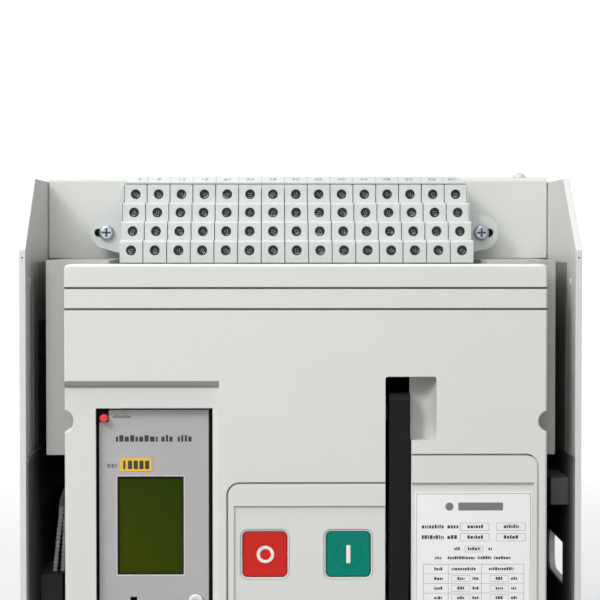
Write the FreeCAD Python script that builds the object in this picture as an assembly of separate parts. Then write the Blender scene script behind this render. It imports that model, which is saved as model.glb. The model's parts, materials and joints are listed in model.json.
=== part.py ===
import FreeCAD, Part
import math
import os
from FreeCAD import Vector

# Three-pole draw-out air circuit breaker in its cradle.
# Millimetres, +Z up, front faces -Y, right is +X. Origin: centre of the four
# floor bolt holes, on the underside of the cradle's floor plate.

os.makedirs("parts", exist_ok=True)

# --------------------------------------------------------- shared dimensions
GAP = 0.1                       # left between neighbouring pieces
HALF_WIDTH = 141.2              # outer faces of the side plates
INNER_X = HALF_WIDTH - 3.1      # inner faces, one sheet thickness in
FIT_X = INNER_X - GAP           # half width of what fits between the plates
REAR_Y = 120.0                  # rear edge of the cradle
PANEL_Y = -60.0                 # front face of the upper rear panel
PANEL_Z0, PANEL_Z1 = 306.1, 350.7

COVER_Y = -175.0                # face of the front cover
HOUSING_Y = -150.0              # front of the housings
JOIN_Y = -22.0                  # housings meet the pole housing
BOTTOM_Z = 46.0                 # underside of the breaker
COVER_SCREW_XS, COVER_SCREW_Z = (-108.0, 112.7), 52.0

POLE_XS = (-70.0, 0.0, 70.0)
UPPER_Z, LOWER_Z = 215.0, 105.0     # heights of the two terminal rows
BAR_HALF_T = 5.0                # half thickness of terminals and main bars
PIVOT_Y, PIVOT_Z, PIVOT_R = 4.0, 122.0, 4.0     # moving contact pivot
OPEN_ANGLE = 22.0               # moving contacts, open
SHAFT_Y, SHAFT_Z, SHAFT_R = -52.0, 150.0, 8.0
CAM_Y, CAM_Z, CAM_R = -105.0, 140.0, 7.05
HANDLE_Y, HANDLE_Z, HANDLE_PIN_R = -160.0, 84.0, 4.0
SCREW_Z, SCREW_R = 14.0, 5.0    # racking screw
SCREW_HOLE_R = SCREW_R + 0.08
CRANK_X = 126.0
LINK_Z, LINK_R = 39.0, 4.0      # pins under the breaker in the carriage forks

# Side plate slots: Y of the first end centre, then shared sizes
SLOT_YS = (-30.0, 15.0, 60.0)
SLOT_LENGTH, SLOT_Z, SLOT_R = 22.0, 239.0, 3.0
WINDOW_Y0, WINDOW_Y1, WINDOW_Z = -129.4, -70.5, 147.3
WINDOW_HALF_H, WINDOW_R = 11.0, 8.0

# Rivet places (Y, Z), the same on both sides
PANEL_RIVETS = [(-40.0, 318.0), (-40.0, 338.0)]
BASE_RIVETS = [(100.0, 60.0), (100.0, 180.0), (100.0, 300.0)]
SMALL_RIVET = (-147.0, 294.4)
FLOOR_RIVETS = [(-130.0, 14.0), (90.0, 14.0)]
RIVET_R, RIVET_HOLE_R = 2.5, 2.6
DOME_X, DOME_Y = 123.6, -48.0   # dome screw on top of the panel

# Terminal block
PITCH = 12.3
MODULE_XS = [-87.8 + i * PITCH for i in range(15)]
BLOCK_X0 = MODULE_XS[0] - PITCH / 2
BLOCK_X1 = MODULE_XS[-1] + PITCH / 2
MODULE_REAR_Y, MODULE_Z0 = -72.0, 304.3
# Steps of a module from the top down: front Y, screw Z, top Z
STEPS = ((-89.0, 340.7, 346.3), (-102.0, 330.7, 335.9),
         (-115.0, 320.7, 325.9), (-127.0, 310.7, 315.9))
EAR_SCREW_XS, EAR_Z = (-104.3, 99.4), 320.0
EAR_SLOT, EAR_SLOT_R = 4.4, 2.3     # outward reach and end radius

# Push buttons, indicators and lock
BUTTON_XS, BUTTON_Z = (-18.2, 23.5), 159.1
INDICATOR_Z = 118.0
LOCK_X, LOCK_Z = 2.7, 94.0

# Trip unit keys: name, X, Z
KEYS = (("key_menu", -53.0, 134.3), ("key_up", -53.0, 120.3), ("key_down", -53.0, 106.3))
RESET_X, RESET_Z = -98.7, 227.0


# ------------------------------------------------------------------- helpers
def box(x0, x1, y0, y1, z0, z1):
    return Part.makeBox(x1 - x0, y1 - y0, z1 - z0, Vector(x0, y0, z0))


def cyl_x(y, z, radius, x0, x1):
    return Part.makeCylinder(radius, x1 - x0, Vector(x0, y, z), Vector(1, 0, 0))


def cyl_y(x, z, radius, y0, y1):
    return Part.makeCylinder(radius, y1 - y0, Vector(x, y0, z), Vector(0, 1, 0))


def cyl_z(x, y, radius, z0, z1):
    return Part.makeCylinder(radius, z1 - z0, Vector(x, y, z0), Vector(0, 0, 1))


def prism(points, direction):
    return Part.Face(Part.makePolygon(points + [points[0]])).extrude(direction)


def prism_x(yz_points, x0, x1):
    return prism([Vector(x0, y, z) for y, z in yz_points], Vector(x1 - x0, 0, 0))


def prism_y(xz_points, y0, y1):
    return prism([Vector(x, y0, z) for x, z in xz_points], Vector(0, y1 - y0, 0))


def rounded(shape, axis, radius):
    """Fillet every straight edge parallel to the axis."""
    direction = {"x": Vector(1, 0, 0), "y": Vector(0, 1, 0), "z": Vector(0, 0, 1)}[axis]
    edges = [edge for edge in shape.Edges if isinstance(edge.Curve, Part.Line)
             and edge.Curve.Direction.cross(direction).Length < 1e-6]
    return shape.makeFillet(radius, edges)


def round_front(shape, limit_y, radius):
    """Fillet the edges lying wholly in front of limit_y."""
    return shape.makeFillet(radius, [e for e in shape.Edges if e.BoundBox.YMax < limit_y])


def rounded_box(x0, x1, y0, y1, z0, z1, radius):
    return rounded(box(x0, x1, y0, y1, z0, z1), "y", radius)


def pad(x, z, half_x, half_z, y0, y1, radius):
    """Rounded box centred on x, z."""
    return rounded_box(x - half_x, x + half_x, y0, y1, z - half_z, z + half_z, radius)


def cut(shape, *tools):
    for tool in tools:
        shape = shape.cut(tool)
    return shape


def fuse(shape, *others):
    for other in others:
        shape = shape.fuse(other)
    return shape.removeSplitter()


def mirror_x(shape):
    return shape.mirror(Vector(0, 0, 0), Vector(1, 0, 0))


def span(side, near, far):
    """X range between two distances from the middle, on side -1 or 1."""
    return sorted((side * near, side * far))


def save(name, *shapes):
    solids = [solid for shape in shapes for solid in shape.Solids]
    result = solids[0] if len(solids) == 1 else Part.makeCompound(solids)
    result.exportStep("parts/%s.step" % name)


# --------------------------------------------------------------- side plates
def window_tool(x0, x1):
    """Side window: small radii at the rear, square step at the front."""
    low, high = WINDOW_Z - WINDOW_HALF_H, WINDOW_Z + WINDOW_HALF_H
    rear = WINDOW_Y1 - WINDOW_R
    tool = fuse(box(x0, x1, WINDOW_Y0, rear, low, high),
                box(x0, x1, WINDOW_Y0 + 5, WINDOW_Y1, low + WINDOW_R, high - WINDOW_R))
    for z in (low + WINDOW_R, high - WINDOW_R):
        tool = tool.fuse(cyl_x(rear, z, WINDOW_R, x0, x1))
    return tool.removeSplitter()


CUT_X = (INNER_X - 1, HALF_WIDTH + 1)       # through one side plate
plate = prism_x([(-165.0, 0), (-165.0, 311.0), (-119.0, 348.0), (REAR_Y, 348.0), (REAR_Y, 0)],
                INNER_X, HALF_WIDTH)
plate = plate.cut(window_tool(*CUT_X))
for y in SLOT_YS:
    end = y + SLOT_LENGTH
    plate = plate.cut(fuse(box(*CUT_X, y, end, SLOT_Z - SLOT_R, SLOT_Z + SLOT_R),
                           cyl_x(y, SLOT_Z, SLOT_R, *CUT_X),
                           cyl_x(end, SLOT_Z, SLOT_R, *CUT_X)))
for y, z in PANEL_RIVETS + BASE_RIVETS:
    plate = plate.cut(cyl_x(y, z, RIVET_HOLE_R, *CUT_X))
plate = plate.cut(cyl_x(*SMALL_RIVET, 1.6, *CUT_X))
for y, z in FLOOR_RIVETS:
    plate = plate.cut(cyl_x(y, z, RIVET_HOLE_R, *CUT_X))
save("side_plate_right", plate)
save("side_plate_left", mirror_x(plate))

# upper rear panel: sheet with a rolled top flange and side tabs
PANEL_T = 2.0
half = FIT_X - 0.6
panel = fuse(box(-half, half, PANEL_Y, PANEL_Y + PANEL_T, PANEL_Z0, PANEL_Z1),
             box(-half, half, PANEL_Y, -22, PANEL_Z1 - PANEL_T, PANEL_Z1))
bend = [e for e in panel.Edges if abs(e.BoundBox.YMin - PANEL_Y) < 1e-6
        and abs(e.BoundBox.YMax - PANEL_Y) < 1e-6
        and abs(e.BoundBox.ZMin - PANEL_Z1) < 1e-6 and e.BoundBox.XLength > 100]
panel = panel.makeFillet(2.6, bend)
panel = fuse(panel, *[box(*span(side, FIT_X - PANEL_T, FIT_X), PANEL_Y + 1, -30,
                          PANEL_Z0 + 2, 346.0) for side in (1, -1)])
for side, x in zip((-1, 1), EAR_SCREW_XS):
    panel = cut(panel, cyl_y(x, EAR_Z, 2.05, PANEL_Y - 1, PANEL_Y + 3),
                cyl_y(x + side * EAR_SLOT, EAR_Z, EAR_SLOT_R, PANEL_Y - 1, PANEL_Y + 3))
for y, z in PANEL_RIVETS:
    panel = panel.cut(cyl_x(y, z, RIVET_HOLE_R, -INNER_X - 1, INNER_X + 1))
panel = panel.cut(cyl_z(DOME_X, DOME_Y, 2.05, PANEL_Z1 - 4, PANEL_Z1 + 1))
save("upper_rear_panel", panel)

# floor plate with turned-up rear and side edges and four bolt holes
FLOOR_T, FLOOR_REAR_Y = 2.5, 118.0
BOLT_X, BOLT_Y, BOLT_R = 100.0, 90.0, 5.5
floor = fuse(box(-FIT_X, FIT_X, -160, FLOOR_REAR_Y, 0, FLOOR_T),
             box(-FIT_X, FIT_X, FLOOR_REAR_Y - FLOOR_T, FLOOR_REAR_Y, 0, 18.0),
             *[box(*span(side, FIT_X - 2, FIT_X), -158, FLOOR_REAR_Y - FLOOR_T, 0, 22)
               for side in (1, -1)])
for x in (-BOLT_X, BOLT_X):
    for y in (-BOLT_Y, BOLT_Y):
        floor = floor.cut(cyl_z(x, y, BOLT_R, -1, 4))
for y, z in FLOOR_RIVETS:
    floor = floor.cut(cyl_x(y, z, RIVET_HOLE_R, -INNER_X - 1, INNER_X + 1))
save("floor_plate", floor)

# front cross bar with racking port, crank hole and indicator window
bar = fuse(box(-FIT_X, FIT_X, -172, -169.6, 3, 28), box(-FIT_X, FIT_X, -170, -150, 25.6, 28))
bar = cut(bar, cyl_y(0, SCREW_Z, 9.0, -173, -168), cyl_y(CRANK_X, SCREW_Z, 7.2, -173, -168),
          rounded_box(45, 75, -173, -168, 9.5, 19.5, 1.5))
save("front_cross_bar", bar)

# flanged bush with a rectangular rear plate
bore = cyl_y(0, SCREW_Z, SCREW_HOLE_R, -173, -160)
bearing = fuse(cyl_y(0, SCREW_Z, 8.9, -171.6, -163), cyl_y(0, SCREW_Z, 10.9, -169.4, -166))
bearing = fuse(bearing.cut(bore), box(-14, 14, -166, -163, 2.6, 25.4).cut(bore))
save("racking_bearing", bearing)

# moulded insulating base with six pockets, rear barriers and shutter guide strips
base = box(-FIT_X, FIT_X, 83, REAR_Y, 22.02, 340)
for x in POLE_XS:
    for z in (UPPER_Z, LOWER_Z):
        half = BAR_HALF_T + GAP
        base = cut(base, box(x - 27, x + 27, 82, 112, z - 14, z + 14),
                   box(x - 25.1, x + 25.1, 111, 121, z - half, z + half))
for x in (-36.0, 34.0):
    base = base.fuse(box(x, x + 2, REAR_Y - 1, 165, 70, 250))
for y, z in BASE_RIVETS:
    for side in (1, -1):
        base = base.cut(cyl_x(y, z, RIVET_HOLE_R, *span(side, INNER_X - 12, INNER_X + 1)))
base = base.cut(box(-120, 120, 95, 121, 300, 332))
for side in (-1, 1):
    base = base.fuse(box(*span(side, 123.0, 129.0), 76.5, 83.5, 40, 296))
save("insulating_base", base.removeSplitter())

# rear connection bars, each with two bolt holes
BAR_HOLE_Y, BAR_HOLE_DX, BAR_HOLE_R = 155.0, 12.5, 5.5
bars = []
for z in (UPPER_Z, LOWER_Z):
    for x in POLE_XS:
        bar = box(x - 25, x + 25, 88, 177, z - BAR_HALF_T, z + BAR_HALF_T)
        bar = rounded(bar, "z", 1.5)
        for dx in (-BAR_HOLE_DX, BAR_HOLE_DX):
            bar = bar.cut(cyl_z(x + dx, BAR_HOLE_Y, BAR_HOLE_R, z - 6, z + 6))
        bars.append(bar)
save("main_bars", *bars)

# side guides: linings with a rail trough, thinner above, a stop block on the right
LINING_X = INNER_X - 1.1


def lining(windowed):
    lower = box(LINING_X, FIT_X, -164.6, 82, 28.0, 206.8)
    if windowed:
        lower = lower.cut(window_tool(INNER_X - 2, HALF_WIDTH + 1))
    upper = box(INNER_X - 0.5, FIT_X, -134, 80, 206.0, 304.5)
    reach = SLOT_R + 0.2
    for y in SLOT_YS:
        upper = upper.cut(box(INNER_X - 2, INNER_X + 1, y - reach, y + SLOT_LENGTH + reach,
                              SLOT_Z - reach, SLOT_Z + reach))
    return fuse(lower, upper)


trough = fuse(box(122, LINING_X, -158, 82, 28, 30.6), box(122, 123.6, -158, 82, 28, 36))
stop = round_front(box(127.9, LINING_X, -150, -112, 180.6, 194.4), -149.9, 0.5)
save("side_guide_right", fuse(lining(True), trough, stop))
save("side_guide_left", mirror_x(fuse(lining(False), trough)))

# position switch block on the left lining, four recesses in its inner face
switches = box(-INNER_X + 1.2, -125.5, -111, -62, 100, 139)
for i in range(4):
    switches = switches.cut(box(-126.5, -125, -106 + 11 * i, -100 + 11 * i, 104, 135))
save("position_switches", switches)

# cradle fasteners: flush rivets, dome screw, two cross-slot ear screws
rivets = [cyl_x(y, z, RIVET_R, FIT_X - 3.0, HALF_WIDTH) for y, z in PANEL_RIVETS]
rivets += [cyl_x(y, z, RIVET_R, HALF_WIDTH - 10.0, HALF_WIDTH) for y, z in BASE_RIVETS]
rivets.append(fuse(cyl_x(*SMALL_RIVET, 1.5, INNER_X - 0.5, HALF_WIDTH),
                   cyl_x(*SMALL_RIVET, 2.1, INNER_X - 0.55, INNER_X - 0.05)))
rivets += [cyl_x(y, z, RIVET_R, FIT_X - 3.0, HALF_WIDTH) for y, z in FLOOR_RIVETS]
fasteners = []
for rivet in rivets:
    fasteners += [rivet, mirror_x(rivet)]
dome = Part.makeSphere(4.0, Vector(DOME_X, DOME_Y, PANEL_Z1 - 1.2)).common(
    cyl_z(DOME_X, DOME_Y, 3.6, PANEL_Z1 + 0.05, PANEL_Z1 + 8.05))
fasteners.append(fuse(dome, cyl_z(DOME_X, DOME_Y, 2.0, PANEL_Z1 - 6, PANEL_Z1 + 0.6)))
for x in EAR_SCREW_XS:
    head = round_front(cyl_y(x, EAR_Z, 4.1, -80.4, -77.6), -80.3, 1.3)
    screw = fuse(head, cyl_y(x, EAR_Z, 1.95, -77.8, -54))
    fasteners.append(cut(screw,
                         box(x - 2.4, x + 2.4, -81, -79.2, EAR_Z - 0.5, EAR_Z + 0.5),
                         box(x - 0.5, x + 0.5, -81, -79.2, EAR_Z - 2.4, EAR_Z + 2.4)))
save("cradle_fasteners", *fasteners)

# -------------------------------------------------------------- terminal block
# stepped modules, each with four slotted screws turned to varied angles
modules, screws = [], []
for i, x in enumerate(MODULE_XS):
    profile = [(MODULE_REAR_Y, MODULE_Z0), (STEPS[3][0], MODULE_Z0)]
    for k in (3, 2, 1, 0):
        front, _, top = STEPS[k]
        profile += [(front, top - 0.9), (front + 1.0, top)]
        if k:
            profile.append((STEPS[k - 1][0], top))
    profile.append((MODULE_REAR_Y, STEPS[0][2]))
    module = prism_x(profile, x - PITCH / 2 + 0.2, x + PITCH / 2 - 0.2)
    for k, (front, z, _) in enumerate(STEPS):
        module = module.cut(cyl_y(x, z, 2.6, front - 1, front + 9))
        slot = box(-3, 3, -0.4, 0.4, -0.4, 0.4)
        slot.rotate(Vector(0, 0, 0), Vector(0, 1, 0), (37 * i + 61 * k) % 180)
        slot.translate(Vector(x, front + 2.2, z))
        screws.append(cyl_y(x, z, 2.35, front + 2.2, front + 8.9).cut(slot))
    modules.append(module)
save("terminal_modules", *modules)
save("terminal_screws", *screws)


def ear(screw_x, side, radius, body_x, z_up, z_down):
    """Teardrop ear: round end about the screw, straight flanks to the block."""
    points = [(body_x, z_down)]
    for degrees in range(-66, 67, 6):
        angle = math.radians(degrees)
        points.append((screw_x + side * radius * math.cos(angle),
                       EAR_Z + radius * math.sin(angle)))
    points.append((body_x, z_up))
    body = prism_y(points, -77.5, -71.95)
    body = body.fuse(cyl_y(screw_x, EAR_Z, 5.0, -72.5, PANEL_Y - GAP))
    end_x = screw_x + side * EAR_SLOT
    slot = fuse(box(min(screw_x, end_x), max(screw_x, end_x), -80, -50,
                    EAR_Z - EAR_SLOT_R, EAR_Z + EAR_SLOT_R),
                cyl_y(screw_x, EAR_Z, EAR_SLOT_R, -80, -50),
                cyl_y(end_x, EAR_Z, EAR_SLOT_R, -80, -50))
    return body.cut(slot)


# carrier moulding behind the modules, with the two ears
left_ear = ear(EAR_SCREW_XS[0], -1, 8.9, BLOCK_X0, 333.5, 308.0)
right_ear = ear(EAR_SCREW_XS[1], 1, 9.5, BLOCK_X1, 333.0, 308.6)
carrier = fuse(box(BLOCK_X0, BLOCK_X1, -71.9, PANEL_Y - GAP, PANEL_Z0 + 0.4, 344.0),
               left_ear.cut(box(BLOCK_X0 - 0.02, BLOCK_X0 + 50, -90, -71.9, 300, 350)),
               right_ear.cut(box(BLOCK_X1 - 50, BLOCK_X1 + 0.02, -90, -71.9, 300, 350)),
               box(BLOCK_X0 - 0.5, BLOCK_X0 + 1.0, -74, -70, 309, 333),
               box(BLOCK_X1 - 1.0, BLOCK_X1 + 0.5, -74, -70, 309, 333))
save("terminal_carrier", carrier.cut(box(BLOCK_X0, BLOCK_X1, -90, -71.95, 300, 350)))

# sloped number strip along the top of the modules, its ends bevelled
STRIP_Z0, STRIP_Z1 = STEPS[0][2] + 0.05, 350.6
strip = prism_x([(-89.0, STRIP_Z0), (-89.0, STRIP_Z0 + 0.8), (-75.0, STRIP_Z1),
                 (-72.0, STRIP_Z1), (-72.0, STRIP_Z0)], BLOCK_X0 + 0.4, BLOCK_X1 - 0.2)
for x, inward in ((BLOCK_X0, 1), (BLOCK_X1, -1)):
    strip = strip.cut(prism_y([(x, STRIP_Z0), (x + inward * 0.5, STRIP_Z0),
                               (x + inward * 5.5, STRIP_Z1 + 1), (x, STRIP_Z1 + 1)], -95, -70))
save("number_strip", strip)

# ---------------------------------------------- rails, racking gear, shutters
RAIL_X0, RAIL_X1 = 124.6, 135.4
rail = box(RAIL_X0, RAIL_X1, -160, 76.3, 31.0, 57.8).cut(box(124, 128, -140, 70, 36, 52))
rail = fuse(rail, box(RAIL_X0, RAIL_X1, -163, -159.9, 31.0, 57.8),
            box(133.5, RAIL_X1, -163, -140.0, 57.0, 70.0))
rail = rail.cut(rounded_box(127.5, 132.5, -164, -158, 41.0, 47.0, 1.5))
save("rail_right", rail)
save("rail_left", mirror_x(rail))

# carriage: cross beam, two forks open to the front, threaded middle block
carriage = box(-108, 108, -12, 12, 6, 22)
for side in (-1, 1):
    x0, x1 = span(side, 96.0, 100.0)
    reach = LINK_R + 0.1
    fork = cut(box(x0, x1, -12, 12, 21, 45),
               box(x0 - 1, x1 + 1, -13, 0, LINK_Z - reach, LINK_Z + reach),
               cyl_x(0, LINK_Z, reach, x0 - 1, x1 + 1))
    carriage = fuse(carriage, fork)
carriage = fuse(carriage, box(-14, 14, -14, 14, 4, 25))
save("racking_carriage", carriage.cut(cyl_y(0, SCREW_Z, SCREW_HOLE_R, -20, 20)))

HEX_R = 3.575                   # corner radius of the hexagonal front end
hexagon = [(HEX_R * math.cos(math.radians(60 * k)),
            SCREW_Z + HEX_R * math.sin(math.radians(60 * k))) for k in range(6)]
save("racking_screw", fuse(cyl_y(0, SCREW_Z, SCREW_R, -168, 40),
                           prism_y(hexagon, -171, -167.5)))
save("position_indicator", box(43, 107, -168.4, -167.2, 8.5, 20.5))
for name, z in (("shutter_upper", UPPER_Z + 31.5), ("shutter_lower", LOWER_Z - 59.5)):
    save(name, box(-122.6, 122.6, 78, 80.4, z, z + 28))

crank = fuse(cyl_y(CRANK_X, SCREW_Z, 4.0, -171, 40), cyl_y(CRANK_X, SCREW_Z, 6.9, -174.5, -165))
save("racking_crank", crank.cut(box(CRANK_X - 1.2, CRANK_X + 1.2, -176, -171.5, 5, 25)))

# ---------------------------------------------------------------- front cover
COVER_X0, COVER_X1, COVER_Z0, COVER_Z1 = -118.0, 122.7, 40.0, 304.0
RECESS_Y = -171.35              # face of the recessed left field
FIELD_Z0 = 78.0                 # foot of the button and rating fields
GROOVE_Y = -173.4               # bottom of the shallow grooves
SLOT_X1 = 54.9                  # right edge of the handle slot
SCOOP_X1, SCOOP_Y, SCOOP_R = 67.35, -173.3, 15.0


def field_groove(x0, x1, z1):
    """Narrow rounded rectangular groove round a field."""
    radius, width, z0 = 6.6, 0.9, FIELD_Z0 - 0.4
    outer = rounded_box(x0, x1, -176, GROOVE_Y, z0, z1, radius)
    return outer.cut(rounded_box(x0 + width, x1 - width, -177, GROOVE_Y + 1,
                                 z0 + width, z1 - width, radius - width))


cover = rounded_box(COVER_X0, COVER_X1, COVER_Y, -150.4, COVER_Z0, COVER_Z1, 2.6)
cover = round_front(cover, COVER_Y + 1e-6, 1.4)
# hollow back, shallower behind the recessed field
cover = cut(cover, box(COVER_X0 + 8, -43.5, -168.3, -150, COVER_Z0 + 8, COVER_Z1 - 8),
            box(-43.6, COVER_X1 - 8, -171.2, -150, COVER_Z0 + 8, COVER_Z1 - 8))
# recessed left field with its sloped top edge
cover = cover.cut(prism_x([(-178, 249.0), (-175, 246.0), (-173.5, 244.0), (RECESS_Y, 242.5),
                           (RECESS_Y, 30), (-178, 30)], COVER_X0 - 1, -41.0))
# trip unit opening
cover = cover.cut(box(-102.6, -44.3, -180, -160, 86.0, 232.1))
# two full-width grooves near the top
for z in (292.2, 281.7):
    cover = cover.cut(box(COVER_X0 - 1, COVER_X1 + 1, -176, GROOVE_Y, z - 0.55, z + 0.55))
# half-round notches in both side edges
for x, face_y in ((COVER_X0 - 1.1, RECESS_Y), (COVER_X1 + 1.1, COVER_Y)):
    cover = cut(cover, cyl_y(x, 225.6, 5.3, -180, -140),
                Part.makeCone(5.9, 5.3, 0.6, Vector(x, face_y, 225.6), Vector(0, 1, 0)))
# push button field with its button, indicator and lock holes
cover = cut(cover, field_groove(-37.4, 60, 195.4).common(box(-40, 42.3, -180, -170, 60, 200)),
            box(-33.6, 42.3, -176, -173.8, FIELD_Z0 + 4, 183.5))
for x in BUTTON_XS:
    cover = cover.cut(pad(x, BUTTON_Z, 12.3, 12.6, -176, -165, 3.6))
for x in BUTTON_XS:
    cover = cover.cut(pad(x, INDICATOR_Z, 11.1, 6.1, -176, -165, 1.0))
cover = cover.cut(cyl_y(LOCK_X, LOCK_Z, 8.15, -176, -165))
# rating field on the right
cover = cut(cover,
            field_groove(40, 118.6, 209.5).common(box(SLOT_X1, 119, -180, -170, 60, 212)),
            box(SLOT_X1, 116.1, -176, GROOVE_Y, FIELD_Z0 + 4, 195.0))
# handle slot
cover = cover.fuse(box(SLOT_X1, 69.4, -172.5, -156, 213.5, 250.5))
cover = cut(cover, rounded_box(41.9, SLOT_X1, -176, -150, 68.0, 248.0, 1.2),
            box(48, SLOT_X1, -176, -150, 100, 248.0).cut(box(50, 60, -180, -140, 247, 249)))
# finger scoop right of the slot, its right flank curving in towards the back
scoop = rounded_box(50, SCOOP_X1, -190, -158.5, 216.0, 248.0, 1.4)
flank = cyl_z(SCOOP_X1 - SCOOP_R, SCOOP_Y, SCOOP_R, 210, 252)
limit = fuse(box(50, 67.4, -190, SCOOP_Y, 210, 252),
             flank.common(box(40, 67.4, -173.4, -158.4, 210, 252)))
cover = cover.cut(scoop.common(limit))
for x in COVER_SCREW_XS:
    cover = cut(cover, cyl_y(x, COVER_SCREW_Z, 4.2, -176, -168),
                cyl_y(x, COVER_SCREW_Z, 2.1, -176, -149))
save("front_cover", cover.removeSplitter())

screws = []
for x in COVER_SCREW_XS:
    z = COVER_SCREW_Z
    screw = fuse(cyl_y(x, z, 4.0, -171.5, -168.1), cyl_y(x, z, 2.0, -168.2, -140.0))
    screws.append(cut(screw, box(x - 3, x + 3, -172, -170.4, z - 0.5, z + 0.5),
                      box(x - 0.5, x + 0.5, -172, -170.4, z - 3, z + 3)))
save("cover_screws", *screws)

# ------------------------------------------------------------------- housings
# upper housing: hollow, open at front, back and most of its bottom
FRONT_CUT, REAR_CUT = HOUSING_Y - 1, JOIN_Y + 1
upper = rounded_box(-129.5, 130.0, HOUSING_Y, JOIN_Y - GAP, 206.6, 305.8, 0.5)
upper = cut(upper, box(-125, 125, HOUSING_Y + 3, REAR_CUT, 210.6, 300.0),
            box(-108, 112, FRONT_CUT, HOUSING_Y + 4, 212, 298),
            box(-107, 109, HOUSING_Y + 3, REAR_CUT, 205, 212),
            box(-107, 109, FRONT_CUT, HOUSING_Y + 4, 205, 213),
            box(-97.5, 95, FRONT_CUT, REAR_CUT, 303.4, 310),
            box(-95, 92, -120, -66, 299, 305))
save("upper_housing", upper.removeSplitter())

# lower housing: floor and side walls with two corner posts for the cover screws
lower = box(-116, 118, HOUSING_Y, JOIN_Y - GAP, BOTTOM_Z, 206.4)
lower = lower.cut(box(-112, 114, FRONT_CUT, REAR_CUT, BOTTOM_Z + 4, 208))
for x0, x1 in ((-113, -104), (107, 115)):
    lower = lower.fuse(box(x0, x1, HOUSING_Y, -138, BOTTOM_Z + 1, 60))
for x in COVER_SCREW_XS:
    lower = lower.cut(cyl_y(x, COVER_SCREW_Z, 2.1, -151, -139.5))
save("lower_housing", lower.removeSplitter())

# pole housing: a chamber per pole, terminal openings, grooved rear wall
housing = box(-122, 122, JOIN_Y, 75.0, BOTTOM_Z, 303.3)
for x in POLE_XS:
    housing = cut(housing, box(x - 29, x + 29, JOIN_Y - 1, 62, 84, 299),
                  box(x - 23, x + 23, 0, 52, 298, 305))
    for z in (UPPER_Z, LOWER_Z):
        half = BAR_HALF_T + GAP
        housing = housing.cut(box(x - 22.1, x + 22.1, 60, 76, z - half, z + half))
for x in (-106, -70, -34, 0, 34, 70, 106):
    housing = housing.cut(box(x - 1.5, x + 1.5, 70, 76, 130, 190))
save("pole_housing", housing)

# secondary plug block that meets the terminal block from below
plug = box(-94.5, 91.5, -119.5, -66.5, 290, 303.2)
for x in MODULE_XS:
    plug = plug.cut(box(x - 2.5, x + 2.5, -114, -72, 301.6, 304))
save("secondary_plug", plug)

# ------------------------------------------------------ contacts and arc parts
upper_terminals, lower_terminals, fingers = [], [], []
chutes, transformers, contacts = [], [], []
for x in POLE_XS:
    upper_terminals.append(fuse(
        box(x - 22, x + 22, 16, 84, UPPER_Z - BAR_HALF_T, UPPER_Z + BAR_HALF_T),
        box(x - 15, x + 15, 12, 16.5, 206, 222)))

    terminal = box(x - 22, x + 22, -4, 84, LOWER_Z - BAR_HALF_T, LOWER_Z + BAR_HALF_T)
    for x0 in (x - 22.0, x + 18.2):         # pivot cheeks
        terminal = fuse(terminal, box(x0, x0 + 3.8, PIVOT_Y - 7, PIVOT_Y + 7,
                                      LOWER_Z + 4, PIVOT_Z + 2),
                        cyl_x(PIVOT_Y, PIVOT_Z, 8, x0, x0 + 3.8))
        terminal = terminal.cut(cyl_x(PIVOT_Y, PIVOT_Z, PIVOT_R + 0.06, x0 - 1, x0 + 5))
    lower_terminals.append(terminal)

    # four fingers above and four below each terminal
    for z in (UPPER_Z, LOWER_Z):
        for k in range(4):
            x0 = x - 21 + 10.8 * k
            for side in (-1, 1):
                near, far = z + side * (BAR_HALF_T + GAP), z + side * 9.8
                fingers.append(prism_x([(76.5, near), (98.0, near), (98.0, z + side * 7.4),
                                        (94.0, far), (76.5, far)], x0, x0 + 9.6))

    chute = box(x - 27, x + 27, -6, 56, 244, 297)
    for k in range(7):
        chute = chute.cut(box(x - 22, x + 22, -3 + 8 * k, 1 + 8 * k, 262, 298))
    chutes.append(chute)

    transformer = rounded(box(x - 28, x + 28, 26, 52, 86, 124), "y", 4)
    transformers.append(transformer.cut(
        box(x - 22.3, x + 22.3, 25, 53, LOWER_Z - 5.3, LOWER_Z + 5.3)))

    # arm with contact pad, hub and pivot pin, built upright and then swung open
    arm = fuse(box(x - 13, x + 13, PIVOT_Y - 4, PIVOT_Y + 4, PIVOT_Z, PIVOT_Z + 100),
               box(x - 13, x + 13, PIVOT_Y + 3.5, 11.7, PIVOT_Z + 84, PIVOT_Z + 99),
               cyl_x(PIVOT_Y, PIVOT_Z, 7.5, x - 18, x + 18),
               cyl_x(PIVOT_Y, PIVOT_Z, PIVOT_R, x - 22, x + 22))
    arm.rotate(Vector(0, PIVOT_Y, PIVOT_Z), Vector(1, 0, 0), OPEN_ANGLE)
    contacts.append(arm)
save("upper_terminals", *upper_terminals)
save("lower_terminals", *lower_terminals)
save("finger_clusters", *fingers)
save("arc_chutes", *chutes)
save("current_transformers", *transformers)
save("moving_contacts", *contacts)

# main shaft with three tilted levers
LEVER = 24
shaft = cyl_x(SHAFT_Y, SHAFT_Z, SHAFT_R, -100, 100)
for x in (-76.0, -6.0, 56.0):
    lever = fuse(box(x, x + 8, SHAFT_Y - 6, SHAFT_Y + 6, SHAFT_Z, SHAFT_Z + LEVER),
                 cyl_x(SHAFT_Y, SHAFT_Z + LEVER, 6, x, x + 8),
                 cyl_x(SHAFT_Y, SHAFT_Z, 12, x, x + 8))
    lever.rotate(Vector(0, SHAFT_Y, SHAFT_Z), Vector(1, 0, 0), -30)
    shaft = shaft.fuse(lever)
save("main_shaft", shaft.removeSplitter())

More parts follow.
